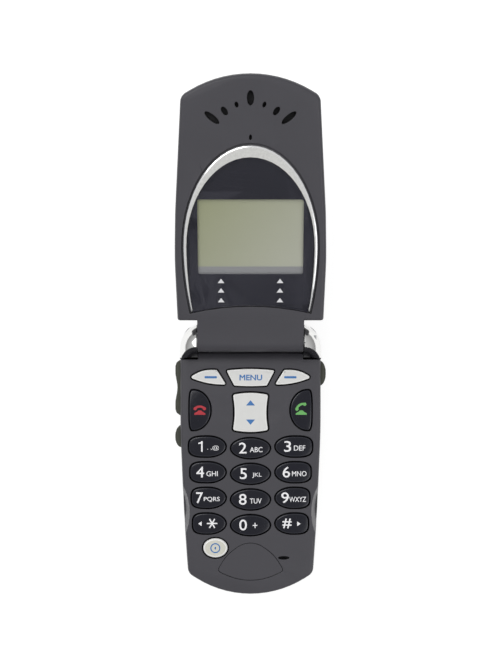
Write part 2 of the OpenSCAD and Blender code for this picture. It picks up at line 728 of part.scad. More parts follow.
// Outline of a side key seen along Z, with its humps outwards.
function side_profile(l, humps) =
    let (n = 20, valley = 0.45)
    concat([[-side_key_root, -l / 2], [-side_key_root, l / 2]],
           [for (i = [n:-1:0])
               let (t = i / n, edge = sqrt(max(0, 1 - pow(2 * t - 1, 8))),
                    wave = humps == 1 ? sqrt(sin(180 * t)) : 1 - valley * pow(sin(180 * t), 6))
               [side_key_proud * edge * wave, (t - 0.5) * l]]);

module side_key(k) {
    flange_l = k[3] == 1 ? k[1] + 2 * side_flange_reach : k[1] / 2.4;
    belly_r = 2.6 + side_key_proud + 0.2;
    color([0.30, 0.31, 0.28]) translate([k[0] * (base_half_w - 0.2), yb(k[2]), side_key_z])
        scale([k[0], 1, 1]) {
            intersection() {
                translate([0, 0, -side_key_h / 2]) linear_extrude(side_key_h)
                    polygon(side_profile(k[1], k[3]));
                rotate([90, 0, 0]) linear_extrude(k[1] + 1, center = true) {
                    translate([-side_key_root, -side_key_h / 2])
                        square([side_key_root, side_key_h]);
                    intersection() {
                        translate([-2.6, 0]) circle(belly_r);
                        translate([-eps, -side_key_h / 2]) square([belly_r, side_key_h]);
                    }
                }
            }
            translate([-side_key_neck, side_flange_reach - flange_l / 2, -side_flange_h / 2])
                cube([side_key_neck, flange_l - 2 * side_flange_reach, side_flange_h]);
            translate([-side_key_neck - side_flange / 2, 0, 0])
                cube([side_flange, flange_l, side_flange_h], center = true);
            if (k[3] == 2) translate([-side_pivot_in, 0, 0])
                cylinder(r = side_pivot_r, h = side_key_h - 0.3, center = true);
        }
}

module side_switches() {
    color([0.15, 0.15, 0.16]) for (k = side_keys, s = (k[3] == 1 ? [0] : [-5.2, 5.2]))
        scale([k[0], 1, 1]) translate([side_switch_x - side_switch_t, yb(k[2]) + s - 1.6, board_top])
            cube([side_switch_t, 3.2, side_switch_h]);
}

// ---------------------------------------------------------------- keys

key_dome_r = 34;                       // crest radius of the dark keys
soft_dome_r = 90;                      // crest radius of the silver ones
stem_foot_z = mat_z + mat_t + key_travel + 0.05;

// Key number i of the face: cap with a domed top, flange under the face and a short stem.
module key(i, tone, dome_r) {
    c = KEY_CENTRES[i];
    color(tone) {
        intersection() {
            translate([0, 0, flange_z]) linear_extrude(face_z + key_proud - flange_z)
                polygon(key_points(i));
            translate([c[0], c[1], face_z + key_proud]) cap(dome_r, 12, 5);
        }
        translate([0, 0, flange_z]) linear_extrude(flange_t) polygon(key_points(i, flange_reach));
        translate([STEMS[i][0], STEMS[i][1], stem_foot_z])
            cylinder(r = 1.2, h = flange_z - stem_foot_z + eps);
    }
}

nav_pivot_z = plate_z - 0.6;           // bar across the rocker's middle, close under the face
nav_pivot_r = 0.5;
nav_pivot_half = 6.4;

// Two-way rocker: it tilts on a bar across its middle.
module nav_rocker() {
    crest_r = 60;
    color(silver) {
        intersection() {
            translate([0, 0, flange_z]) linear_extrude(face_z + key_proud - flange_z)
                polygon(outline(nav_corners, 0));
            translate([0, nav_at[1], face_z + key_proud - crest_r]) rotate([0, 90, 0])
                cylinder(r = crest_r, h = 40, center = true, $fn = 720);
        }
        translate([0, 0, flange_z]) linear_extrude(flange_t - 0.4)
            polygon(outline(nav_corners, -flange_reach + 0.1));
        translate([0, nav_at[1], nav_pivot_z]) rotate([0, 90, 0])
            cylinder(r = nav_pivot_r, h = 2 * nav_pivot_half, center = true);
        for (s = [-1, 1]) translate([0, nav_at[1] + s * nav_dome_reach, stem_foot_z])
            cylinder(r = 1.0, h = flange_z - stem_foot_z + eps);
    }
}

// ---------------------------------------------------------------- fasteners and hinge pieces of the base

screw_grip = 3.4;                      // how far a screw reaches into its boss

module housing_screws() {
    color(steel) for (s = screws) translate([s[0], yb(s[1]), head_z]) difference() {
        union() {
            cylinder(r = head_r, h = head_t);
            cylinder(r = screw_r, h = deck_top - head_z + screw_grip - 0.2);
        }
        translate([0, 0, -eps]) cylinder(r = 0.65, h = 0.7, $fn = 6);
    }
}

bush_r = 2.4;
bush_bore_r = 1.7;
bush_len = 5.9;
hinge_seat = base_half_w - ear_x - 2.1; // how deep the shaft sits in the right ear
bush_seat = hinge_seat - 1.1;          // how deep the bush sits in the left one
ribbon_room = 1.0;                     // slot beside the bush's end for the ribbon
capsule_r = 2.45;
shaft_r = 1.4;
shaft_reach = 5;                       // how far the shaft runs into the capsule
shaft_key = 3.2;                       // square end of the shaft

module hinge_shaft() {
    color(steel) translate([0, hinge_y, hinge_z]) {
        translate([ear_x, -shaft_key / 2, -shaft_key / 2])
            cube([hinge_seat, shaft_key, shaft_key]);
        translate([ear_x - shaft_reach, 0, 0]) rotate([0, 90, 0])
            cylinder(r = shaft_r, h = shaft_reach + eps);
    }
}

module pivot_bush() {
    color(steel) translate([-ear_x - bush_seat, hinge_y, hinge_z]) rotate([0, 90, 0])
        difference() {
            cylinder(r = bush_r, h = bush_len);
            translate([0, 0, -eps]) cylinder(r = bush_bore_r, h = bush_len + 2 * eps);
        }
}

flex_w = 2.4;
flex_t = 0.2;
coil_x = -8.5;                         // middle of the wound ribbon
coil_w = 7;

// Ribbon from the bush down the left ear to the board.
module flex_tail() {
    x0 = -ear_x - bush_seat - ribbon_room / 2;
    color(amber) {
        translate([x0, hinge_y - flex_w / 2, hinge_z - flex_t / 2])
            cube([coil_x - coil_w / 2 - seat_gap - x0, flex_w, flex_t]);
        translate([x0, hinge_y - flex_w / 2, deck_top + 0.2])
            cube([flex_t, flex_w, hinge_z - deck_top - 0.2]);
        translate([x0, yb(9), deck_top + 0.2]) cube([flex_t, 9, 1.9]);
        translate([x0, yb(9), board_z - flex_t]) cube([4, flex_w, flex_t]);
    }
}

// ---------------------------------------------------------------- lid

module lid_frame() {
    translate([0, hinge_y, hinge_z]) rotate([lid_tilt, 0, 0]) children();
}

lid_shoulder_u = 6.9;
lid_end_r = 35;
lid_slope = 30;
lid_apex = lid_len + lid_end_r * (1 / cos(lid_slope) - 1);
lid_corner_x = lid_half_w - 2.5;
lid_corners = both_sides([
    [lid_half_w - 0.6, lid_shoulder_u, 0.8, 3],
    [lid_half_w, 26, 120, 2],
    [lid_half_w - 0.4, 40, 120, 2],
    [lid_corner_x, lid_apex - lid_corner_x * tan(lid_slope), 3, 6],
    [0, lid_apex, lid_end_r, 14]]);
lid_middle = [0, lid_len / 2 + 4];
lid_part_v = 0;                        // parting line of the lid covers
ledge_v = inner_v - 1.0;               // floor of the window's recess
lid_plate_v = inner_v - 1.6;           // underside of the inner cover's plate
lid_board_v = -0.4;                    // upper face of the lid's board
lid_board_t = 0.8;
outer_plate_v = -outer_v + lid_wall;   // inner face of the outer cover
neck_u = lid_shoulder_u + 1.2;         // where the neck has run into the lid
barrel_bore_r = bush_r + run_gap;
flex_window = [-13, -4];               // the ribbon's way out of the barrel, from and to in x

arch_u = 29.5;                         // where the arch is widest
foot_u = 9.6;
foot_sag = 2.2;

// Arch with elliptical top, drawn-in feet and a hollow lower edge.
function arch(a, b, foot_x, foot, grow = 0) =
    let (n = 28, m = 8, k = 8, aa = a + grow, bb = b + grow, fx = foot_x + grow, fu = foot - grow)
    concat([for (i = [0:n]) [aa * cos(180 * i / n), arch_u + bb * sin(180 * i / n)]],
           [for (i = [1:m]) let (s = i / m) [-aa + (aa - fx) * s * s, arch_u - s * (arch_u - fu)]],
           [for (i = [1:k - 1]) let (t = 2 * i / k - 1) [fx * t, fu + foot_sag * (1 - t * t)]],
           [for (i = [m:-1:1]) let (s = i / m) [aa - (aa - fx) * s * s, arch_u - s * (arch_u - fu)]]);
function ring_outside(grow = 0) = arch(arch_half_w, arch_rise, arch_half_w - 2.2, foot_u, grow);
function ring_inside(grow = 0) = arch(arch_half_w - arch_side_w, arch_rise - arch_top_w,
                                      arch_half_w - 2.8, foot_u, grow);
window_u = 21.3;
window_corners = both_sides([[window_half_w, window_u, 0.6, 4],
                             [window_half_w, window_u + window_h, 0.6, 4]]);

slot_aim_u = lid_len - 21.5;           // the earpiece slots point at this spot on the middle line
dish_r = 20;
// Earpiece slots: x, distance from the lid's end, half width, half length
slots = [[0, 6.8, 1.0, 2.1], [4.0, 8.7, 0.5, 0.8], [7.5, 10.5, 0.75, 1.35],
         [11.1, 12.4, 0.85, 2.6]];

// Shallow spherical dish of radius r and depth h, cut down from the plane v = 0.
module dish(r, h) {
    rotate([180, 0, 0]) translate([0, 0, h]) cap((r * r + h * h) / (2 * h), r, h);
}

module slot_shapes() {
    for (s = slots, side = (s[0] > 0 ? [-1, 1] : [1])) {
        u = lid_len - s[1];
        lean = atan2(s[0], u - slot_aim_u);
        translate([side * s[0], u]) rotate(-side * lean)
            polygon(ellipse_pts([0, 0], s[2], s[3], 24));
    }
}

// Side view of the neck: round barrel on the axis, flush with the lid's faces.
module neck_profile(side) {
    n = 10;
    if (side > 0) intersection() {
        union() {
            circle(barrel_r);
            square([neck_u, inner_v]);
        }
        translate([-barrel_r - 1, lid_part_v]) square([neck_u + barrel_r + 1, 2 * barrel_r]);
    }
    else polygon(concat([for (i = [0:n]) [-barrel_r * cos(90 * i / n), -outer_v * sin(90 * i / n)]],
                        [[neck_u, -outer_v], [neck_u, lid_part_v]]));
}

// Half of the neck between the ears: the inner half where side is 1, the outer where it is -1.
module neck(side) {
    side_extrude(barrel_half) neck_profile(side);
}

// What is hollow in the neck: the barrel's bore and the ribbon's window.
module neck_hollow() {
    rotate([0, 90, 0]) cylinder(r = barrel_bore_r, h = 2 * barrel_half + 1, center = true);
    translate([flex_window[0], 0, outer_plate_v + 0.3])
        cube([flex_window[1] - flex_window[0], neck_u + 1, lid_plate_v - outer_plate_v - 0.3]);
}

module lid_inner_cover() {
    color(charcoal) lid_frame() difference() {
        union() {
            loft([ring_at(outline(lid_corners, lid_wall + 0.2), lid_plate_v),
                  ring_at(outline(lid_corners, lid_wall), lid_part_v),
                  ring_at(outline(lid_corners, 0), lid_part_v),
                  ring_at(outline(lid_corners, 0.05), inner_v - 1.2),
                  ring_at(outline(lid_corners, 0.25), inner_v - 0.5),
                  ring_at(outline(lid_corners, 0.6), inner_v - 0.12),
                  ring_at(outline(lid_corners, 1.0), inner_v)]);
            neck(1);
        }
        neck_hollow();
        translate([0, 0, ledge_v]) linear_extrude(3) polygon(ring_outside(arch_groove));
        linear_extrude(10) polygon(outline(window_corners, -0.4));
        linear_extrude(10) slot_shapes();
        linear_extrude(10) polygon(ellipse_pts([0, light_u], 0.4, 0.75, 16));
        translate([0, slot_aim_u, inner_v]) dish(dish_r, 0.5);
    }
}

arch_groove = 0.3;                     // groove round the silver arch
light_u = arch_u + arch_rise + 2.0;    // pinhole over the status light, just past the arch

module lid_outer_cover() {
    c = lid_middle;
    base = outline(lid_corners, 2.6);
    seam_v = lid_part_v - 0.02;
    color(charcoal) lid_frame() difference() {
        union() {
            loft(concat(
                [for (s = [0.25, 0.5, 0.75]) ring_scaled(base, s, c, -outer_v - crown * (1 - s * s))],
                [ring_at(base, -outer_v),
                 ring_at(outline(lid_corners, 1.5), -outer_v + 0.3),
                 ring_at(outline(lid_corners, 0.6), -outer_v + 1.0),
                 ring_at(outline(lid_corners, 0.1), -outer_v + 2.2),
                 ring_at(outline(lid_corners, 0), seam_v),
                 ring_at(outline(lid_corners, lid_wall), seam_v),
                 ring_at(outline(lid_corners, lid_wall + 0.4), -outer_v + 2.2),
                 ring_at(outline(lid_corners, lid_wall + 1.6), outer_plate_v)]));
            neck(-1);
        }
        neck_hollow();
        translate([0, outer_lens_u, -outer_v - 2]) linear_extrude(2 + outer_pocket)
            polygon(ellipse_pts([0, 0], outer_lens_a + seat_gap, outer_lens_b + seat_gap));
        translate([0, outer_lens_u, -outer_v]) linear_extrude(3)
            polygon(ellipse_pts([0, 0], outer_lens_a - 1.2, outer_lens_b - 1.2));
    }
}

outer_pocket = 0.9;                    // floor of the outer lens's pocket, from the cover's edge
outer_lens_u = 42;
outer_lens_a = 12.5;
outer_lens_b = 7.5;

module lens_ring() {
    color(silver) lid_frame() translate([0, 0, ledge_v]) linear_extrude(inner_v - ledge_v + 0.15)
        difference() {
            polygon(ring_outside(0));
            polygon(ring_inside(0.05));
        }
}

mask_t = 0.15;

module display_lens() {
    color(glass_tint) lid_frame() translate([0, 0, ledge_v + mask_t])
        linear_extrude(inner_v - ledge_v - mask_t) polygon(ring_inside(0));
}

module lens_mask() {
    color([0.10, 0.10, 0.15]) lid_frame() translate([0, 0, ledge_v]) linear_extrude(mask_t)
        difference() {
            polygon(ring_inside(0));
            polygon(outline(window_corners, 0));
        }
}

module_u = [18.6, window_u + window_h + 1.9]; // the display's ends along the lid
module_half_w = window_half_w + 0.7;
display_v = 0.1;                       // underside of the display

module display_module() {
    color([0.62, 0.65, 0.52]) lid_frame() translate([-module_half_w, module_u[0], display_v])
        cube([2 * module_half_w, module_u[1] - module_u[0], lid_plate_v - display_v]);
}

// Open frame that holds the display between the board and the cover.
module display_frame() {
    rim = 1.0;
    color(steel) lid_frame() translate([0, 0, lid_board_v]) difference() {
        translate([-module_half_w - rim, module_u[0] - rim, 0])
            cube([2 * (module_half_w + rim), module_u[1] - module_u[0] + 2 * rim,
                  lid_plate_v - lid_board_v]);
        translate([-module_half_w - 0.1, module_u[0] - 0.1, display_v - lid_board_v])
            cube([2 * module_half_w + 0.2, module_u[1] - module_u[0] + 0.2, 5]);
        translate([-module_half_w + 4, module_u[0] + 4, -1])
            cube([2 * module_half_w - 8, module_u[1] - module_u[0] - 8, 3]);
    }
}

module lid_board() {
    color(board_green) lid_frame() translate([0, 0, lid_board_v - lid_board_t])
        linear_extrude(lid_board_t)
            polygon(outline(both_sides([[17, 10.5, 1, 3], [17.5, lid_board_end, 2, 3]]), 0));
}

earpiece_u = lid_len - 12.6;
earpiece_r = 6.4;
lid_board_end = earpiece_u - earpiece_r - 4.8;
mesh_t = 0.2;

module earpiece() {
    top_v = lid_plate_v - mesh_t;
    lid_frame() translate([0, earpiece_u, 0]) {
        color([0.15, 0.15, 0.16]) translate([0, 0, outer_plate_v + 0.1]) difference() {
            cylinder(r = earpiece_r, h = top_v - outer_plate_v - 0.1);
            translate([0, 0, top_v - outer_plate_v - 0.5]) cylinder(r = earpiece_r - 1.2, h = 1);
        }
        color(steel) translate([0, 0, top_v - 0.4 - eps]) cylinder(r = 2.4, h = 0.3);
    }
}

module earpiece_mesh() {
    color([0.08, 0.08, 0.09]) lid_frame() translate([0, 0, lid_plate_v - mesh_t])
        linear_extrude(mesh_t)
            polygon(outline(both_sides([[6.4, lid_len - 19.2, 4, 4], [14.6, lid_len - 17.3, 2, 4],
                                        [13.2, lid_len - 8.2, 3, 4], [4, lid_len - 3.8, 4, 4]])));
}

module outer_lens() {
    r = pow(lid_half_w - 2.6, 2) / (2 * crown);
    crest = -outer_v - crown - 0.05;
    color(glass_tint) lid_frame() translate([0, outer_lens_u, 0]) intersection() {
        translate([0, 0, crest]) linear_extrude(-outer_v + outer_pocket - crest)
            polygon(ellipse_pts([0, 0], outer_lens_a, outer_lens_b));
        translate([0, 0, crest]) rotate([180, 0, 0]) cap(r, outer_lens_a + 1, 3);
    }
}

module outer_display() {
    color([0.45, 0.50, 0.46]) lid_frame() translate([-9.5, outer_lens_u - 5, outer_plate_v])
        cube([19, 10, lid_board_v - lid_board_t - outer_plate_v]);
}

module lid_magnet() {
    color(steel) lid_frame() translate([9.5, lid_board_end + 1, lid_plate_v - 2.6])
        cube([5, 3, 2.6]);
}

// ---------------------------------------------------------------- hinge pieces of the lid

module hinge_capsule() {
    nose_x = 2.6;
    color(steel) lid_frame() rotate([0, 90, 0]) difference() {
        union() {
            translate([0, 0, nose_x]) cylinder(r = capsule_r, h = barrel_half - nose_x);
            translate([0, 0, nose_x - 1.4]) cylinder(r = 1.6, h = 1.5);
        }
        translate([0, 0, ear_x - shaft_reach - 0.2])
            cylinder(r = shaft_r + run_gap, h = shaft_reach + 1);
    }
}

// Ribbon wound loosely round the hinge axis, then led out over the lid's board.
module hinge_flex() {
    turns = 2.5;
    steps = 60;
    t = 0.15;
    inner_r = 0.7;
    outer_r = barrel_bore_r - 0.25 - t;
    out_u = 11.5;
    function at(i, dr) = let (a = -360 * turns * i / steps - 180,
                              r = inner_r + (outer_r - inner_r) * i / steps)
        (r + dr) * [cos(a), sin(a)];
    color(amber) lid_frame() translate([coil_x, 0, 0]) rotate([90, 0, 90])
        linear_extrude(coil_w, center = true) {
            polygon(concat([for (i = [0:steps]) at(i, 0)], [for (i = [steps:-1:0]) at(i, t)]));
            translate([outer_r, lid_board_v]) square([out_u - outer_r, t]);
            translate([outer_r, lid_board_v]) square([t, -lid_board_v + 0.1]);
        }
}

// ---------------------------------------------------------------- assembly

front_housing();
rear_housing();
mirror([1, 0, 0]) hinge_cap();  // hinge_cap_left
hinge_cap();  // hinge_cap_right
face_inlay();
main_board();
shield_cans();
dome_sheet();
keypad_mat();
battery();
battery_contacts();
microphone();
vibration_motor();
headset_jack();
accessory_connector();
internal_antenna();
side_switches();
housing_screws();
hinge_shaft();
pivot_bush();
flex_tail();
key(0, silver, soft_dome_r);  // softkey_left
key(1, silver, soft_dome_r);  // menu_key
key(2, silver, soft_dome_r);  // softkey_right
key(3, key_black, key_dome_r);  // end_key
key(4, key_black, key_dome_r);  // send_key
nav_rocker();
for (i = [0:len(NUMBER_NAMES) - 1])
    key(5 + i, key_black, key_dome_r);
key(key_count - 1, silver, key_dome_r);  // power_key
side_key(side_keys[0]);  // volume_rocker
side_key(side_keys[1]);  // smart_key
side_key(side_keys[2]);  // voice_key
battery_door();
battery_latch();
lid_inner_cover();
lid_outer_cover();
lens_ring();
display_lens();
lens_mask();
display_module();
display_frame();
lid_board();
earpiece();
earpiece_mesh();
outer_lens();
outer_display();
lid_magnet();
hinge_capsule();
hinge_flex();
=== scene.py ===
"""Looks of an open clamshell phone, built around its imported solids.

The phone lies on its back. X runs across it, Y from the keypad towards the hinge and the lid, and
Z up out of the keypad. Lengths in the classes below are millimetres, and meshes are in metres.
"""

import json
import logging
import math
from collections.abc import Callable, Iterable
from dataclasses import dataclass, field
from enum import Enum

import bmesh
import bpy
from mathutils import Matrix, Vector
from mathutils.bvhtree import BVHTree


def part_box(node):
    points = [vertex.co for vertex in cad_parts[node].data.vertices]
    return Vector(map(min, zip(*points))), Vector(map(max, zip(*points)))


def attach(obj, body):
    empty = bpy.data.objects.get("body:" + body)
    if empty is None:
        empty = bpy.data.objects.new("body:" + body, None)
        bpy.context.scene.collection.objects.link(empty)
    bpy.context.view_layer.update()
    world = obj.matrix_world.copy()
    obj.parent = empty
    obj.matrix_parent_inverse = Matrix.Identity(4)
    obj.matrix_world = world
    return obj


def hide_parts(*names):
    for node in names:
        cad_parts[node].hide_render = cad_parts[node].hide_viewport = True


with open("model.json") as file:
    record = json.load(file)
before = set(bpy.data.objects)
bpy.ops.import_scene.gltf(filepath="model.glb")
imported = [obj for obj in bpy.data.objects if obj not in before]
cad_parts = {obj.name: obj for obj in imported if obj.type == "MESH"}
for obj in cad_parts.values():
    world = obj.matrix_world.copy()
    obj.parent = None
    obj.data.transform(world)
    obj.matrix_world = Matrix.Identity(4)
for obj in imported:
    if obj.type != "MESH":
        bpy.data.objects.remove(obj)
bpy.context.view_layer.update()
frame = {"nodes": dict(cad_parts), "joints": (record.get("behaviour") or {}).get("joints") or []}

MM = 0.001
LOG = logging.getLogger("clamshell")
Colour = tuple[float, float, float, float]
WHITE: Colour = (1, 1, 1, 1)
NOISE_ENDS = (0.3, 0.7)  # values between which nearly all of a noise lies
COAT_ROUGHNESS = 0.04
FUSE = 1e-7  # points nearer than this to a cut, in metres, lie on it
TOUCH = 0.05 * MM  # points nearer than this to an ear's inner face lie under the ear
INK = 0.03  # thickness of a printed legend, in millimetres
INK_LIFT = 0.02  # how far it stands off what it is printed on


# ------------------------------------------------------------------ finishes

def linear(code: str) -> Colour:
    """Turn a hex colour, as the eye reads it, into the renderer's linear light.

    Args:
        code: Six hex digits.

    Returns:
        Red, green, blue and an alpha of 1.
    """
    parts = [int(code[k:k + 2], 16) / 255 for k in (0, 2, 4)]
    light = [p / 12.92 if p <= 0.04045 else ((p + 0.055) / 1.055) ** 2.4 for p in parts]
    return (light[0], light[1], light[2], 1.0)


def scaled(colour: Colour, share: float) -> Colour:
    """Return the colour made lighter or darker by a share."""
    return (*(min(1.0, c * share) for c in colour[:3]), 1.0)


class Nodes:
    """A node tree, filled from empty."""

    def __init__(self, tree: bpy.types.NodeTree) -> None:
        """Empty the tree.

        Args:
            tree: The tree.
        """
        self.tree = tree
        self.tree.nodes.clear()

    def add(self, kind: str, options: dict | None = None, **values: object) -> bpy.types.Node:
        """Add a node.

        Args:
            kind: The node's type.
            options: Properties of the node itself.
            **values: Input sockets by name, with _ for a space.

        Returns:
            The new node.
        """
        node = self.tree.nodes.new(kind)
        for key, value in (options or {}).items():
            setattr(node, key, value)
        for key, value in values.items():
            node.inputs[key.replace("_", " ")].default_value = value
        return node

    def wire(self, start: bpy.types.Node, out: str | int, end: bpy.types.Node,
             into: str | int) -> None:
        """Join the output of one node to the input of another."""
        self.tree.links.new(start.outputs[out], end.inputs[into])


class Graph(Nodes):
    """Shader graph of one material."""

    def __init__(self, name: str) -> None:
        """Start an empty graph with its output and main shader.

        Args:
            name: Name of the material.
        """
        self.material = bpy.data.materials.new(name)
        self.material.use_nodes = True
        super().__init__(self.material.node_tree)
        self.shader = self.add("ShaderNodeBsdfPrincipled")
        self.output = self.add("ShaderNodeOutputMaterial")
        self.wire(self.shader, "BSDF", self.output, "Surface")
        self.coords = self.add("ShaderNodeTexCoord")

    def noise(self, size: float, detail: float = 2.0,
              stretch: tuple[float, float, float] = (1, 1, 1)) -> bpy.types.Node:
        """Add noise in the object's own space.

        Args:
            size: Size of a spot, in millimetres.
            detail: How much finer noise is laid over it.
            stretch: How much tighter the noise is along X, Y and Z.

        Returns:
            The noise node.
        """
        place = self.add("ShaderNodeMapping", Scale=stretch)
        spots = self.add("ShaderNodeTexNoise", Scale=1 / (size * MM), Detail=detail)
        self.wire(self.coords, "Object", place, "Vector")
        self.wire(place, "Vector", spots, "Vector")
        return spots

    def between(self, source: bpy.types.Node, out: str | int, low: Colour, high: Colour,
                ends: tuple[float, float] = NOISE_ENDS) -> bpy.types.Node:
        """Add a blend between two colours.

        Args:
            source: Node whose value leads it.
            out: Its output.
            low: Colour at the lower value.
            high: Colour at the upper value.
            ends: The two values.

        Returns:
            The blend's node.
        """
        ramp = self.add("ShaderNodeValToRGB")
        for element, place, colour in zip(ramp.color_ramp.elements, ends, (low, high)):
            element.position = place
            element.color = colour
        self.wire(source, out, ramp, "Fac")
        return ramp

    def spread(self, source: bpy.types.Node, out: str | int, low: float, high: float,
               ends: tuple[float, float] = NOISE_ENDS) -> bpy.types.Node:
        """Add a map from one range of values to another.

        Args:
            source: Node whose value is mapped.
            out: Its output.
            low: Result at the first end.
            high: Result at the second end.
            ends: The two values of the source.

        Returns:
            The map's node.
        """
        span = self.add("ShaderNodeMapRange", From_Min=ends[0], From_Max=ends[1], To_Min=low,
                        To_Max=high)
        self.wire(source, out, span, "Value")
        return span

    def bump(self, source: bpy.types.Node, out: str | int, depth: float) -> None:
        """Add relief to the surface.

        Args:
            source: Node whose value is the height.
            out: Its output.
            depth: Depth of the relief, in millimetres.
        """
        relief = self.add("ShaderNodeBump", Distance=depth * MM, Strength=1.0)
        self.wire(source, out, relief, "Height")
        self.wire(relief, "Normal", self.shader, "Normal")


@dataclass(frozen=True)
class Finish:
    """Surface with a mottled tone, uneven gloss and fine grain.

    Attributes:
        name: Name of its material.
        tone: Colour as hex digits.
        roughness: Mean roughness.
        metallic: Share of bare metal.
        mottle: How far the tone wanders, as a share.
        mottle_size: Size of its spots, in millimetres.
        gloss_wander: How far the roughness wanders.
        grain: Depth of the grain, in millimetres.
        grain_size: Size of a grain, in millimetres.
        coat: Weight of a clear coat.
        alpha: Opacity.
        level: Strength of the plain reflection, 0.5 for plastic.
    """

    name: str
    tone: str
    roughness: float = 0.5
    metallic: float = 0.0
    mottle: float = 0.05
    mottle_size: float = 7.0
    gloss_wander: float = 0.05
    grain: float = 0.0
    grain_size: float = 0.15
    coat: float = 0.0
    alpha: float = 1.0
    level: float = 0.5

    def material(self) -> bpy.types.Material:
        """Find the finish's material, or make it at its first use.

        Returns:
            The material.
        """
        made = bpy.data.materials.get(self.name)
        if made is None:
            graph = Graph(self.name)
            self.dress(graph)
            made = graph.material
        return made

    def dress(self, graph: Graph) -> None:
        """Build the surface in a new graph.

        Args:
            graph: The material's graph.
        """
        sockets = graph.shader.inputs
        sockets["Metallic"].default_value = self.metallic
        sockets["Coat Weight"].default_value = self.coat
        sockets["Coat Roughness"].default_value = COAT_ROUGHNESS
        sockets["Alpha"].default_value = self.alpha
        sockets["Specular IOR Level"].default_value = self.level
        tone = linear(self.tone)
        spots = graph.noise(self.mottle_size)
        colour = graph.between(spots, "Fac", scaled(tone, 1 - self.mottle),
                               scaled(tone, 1 + self.mottle))
        graph.wire(colour, "Color", graph.shader, "Base Color")
        smears = graph.noise(self.mottle_size / 3, detail=4.0)
        gloss = graph.spread(smears, "Fac", max(0.02, self.roughness - self.gloss_wander),
                             self.roughness + self.gloss_wander)
        graph.wire(gloss, "Result", graph.shader, "Roughness")
        if self.grain:
            graph.bump(graph.noise(self.grain_size, detail=1.0), "Fac", self.grain)


@dataclass(frozen=True)
class BrushedFinish(Finish):
    """Metal with a fine brushing along one axis.

    Attributes:
        along: How tight the brushed lines are along X, Y and Z.
    """

    along: tuple[float, float, float] = (0.06, 1.0, 1.0)

    def dress(self, graph: Graph) -> None:
        """Build the metal, then lay the brushed lines over it.

        Args:
            graph: The material's graph.
        """
        super().dress(graph)
        lines = graph.noise(0.12, detail=3.0, stretch=self.along)
        graph.bump(lines, "Fac", 0.012)


@dataclass(frozen=True)
class BoardFinish(Finish):
    """Solder mask with copper tracks showing through.

    Attributes:
        track_tone: Colour of the tracks.
    """

    track_tone: str = "2f7f4c"

    def dress(self, graph: Graph) -> None:
        """Build the mask, with its tracks as cells of a coarse brick pattern.

        Args:
            graph: The material's graph.
        """
        super().dress(graph)
        tracks = graph.add("ShaderNodeTexBrick", Scale=1 / (9 * MM), Mortar_Size=0.035,
                           Color1=linear(self.tone), Color2=scaled(linear(self.tone), 0.8),
                           Mortar=linear(self.track_tone))
        graph.wire(graph.coords, "Object", tracks, "Vector")
        graph.wire(tracks, "Color", graph.shader, "Base Color")
        graph.bump(tracks, "Fac", 0.03)


@dataclass(frozen=True)
class ClothFinish(Finish):
    """Woven acoustic cloth.

    Attributes:
        thread_pitch: Distance between threads, in millimetres.
    """

    thread_pitch: float = 0.35

    def dress(self, graph: Graph) -> None:
        """Build the cloth from two crossed sets of waves.

        Args:
            graph: The material's graph.
        """
        super().dress(graph)
        waves = []
        for axis in ("X", "Y"):
            wave = graph.add("ShaderNodeTexWave", {"bands_direction": axis},
                             Scale=math.pi / (10 * self.thread_pitch * MM))
            graph.wire(graph.coords, "Object", wave, "Vector")
            waves.append(wave)
        weave = graph.add("ShaderNodeMath", {"operation": "MULTIPLY"})
        graph.wire(waves[0], "Fac", weave, 0)
        graph.wire(waves[1], "Fac", weave, 1)
        graph.bump(weave, "Value", 0.08)


@dataclass(frozen=True)
class PanelFinish(Finish):
    """Reflective display: its tone runs from one corner to the other, over a fine dot grid.

    Attributes:
        far_tone: Colour at the far end of the run.
        shadow_band_tone: Colour of the band of painted shadow at the hinge end.
        foot: Y below which that painted shadow lies, in millimetres.
        start: X and Y of the near corner, in millimetres.
        run: How far the run reaches along X and Y, in millimetres.
    """

    far_tone: str = "b4b8ab"
    shadow_band_tone: str = "a9aaab"
    foot: float = 0.0
    start: tuple[float, float] = (0.0, 0.0)
    run: tuple[float, float] = (1.0, 1.0)

    def dress(self, graph: Graph) -> None:
        """Build the run of the tone, the band of painted shadow and the dots.

        Args:
            graph: The material's graph.
        """
        super().dress(graph)
        length = math.hypot(*self.run)
        place = graph.add("ShaderNodeMapping", {"vector_type": "TEXTURE"},
                          Location=(self.start[0] * MM, self.start[1] * MM, 0),
                          Rotation=(0, 0, math.atan2(self.run[1], self.run[0])),
                          Scale=(length * MM, length * MM, length * MM))
        run = graph.add("ShaderNodeTexGradient")
        graph.wire(graph.coords, "Object", place, "Vector")
        graph.wire(place, "Vector", run, "Vector")
        ramp = graph.between(run, "Color", linear(self.tone), linear(self.far_tone), (0.0, 1.0))
        # a band of painted shadow along the display's hinge end
        split = graph.add("ShaderNodeSeparateXYZ")
        graph.wire(graph.coords, "Object", split, "Vector")
        below = graph.spread(split, "Y", 0.0, 1.0,
                             ((self.foot + 0.3) * MM, (self.foot - 0.1) * MM))
        band = graph.add("ShaderNodeMix", {"data_type": "RGBA"})
        share, first, second, mixed = 0, 6, 7, 2  # the colour sockets among those of all kinds
        graph.wire(below, "Result", band, share)
        graph.wire(ramp, "Color", band, first)
        band.inputs[second].default_value = linear(self.shadow_band_tone)
        graph.wire(band, mixed, graph.shader, "Base Color")
        dots = graph.add("ShaderNodeTexVoronoi", Scale=1 / (0.3 * MM), Randomness=0.0)
        graph.wire(graph.coords, "Object", dots, "Vector")
        graph.bump(dots, "Distance", 0.01)


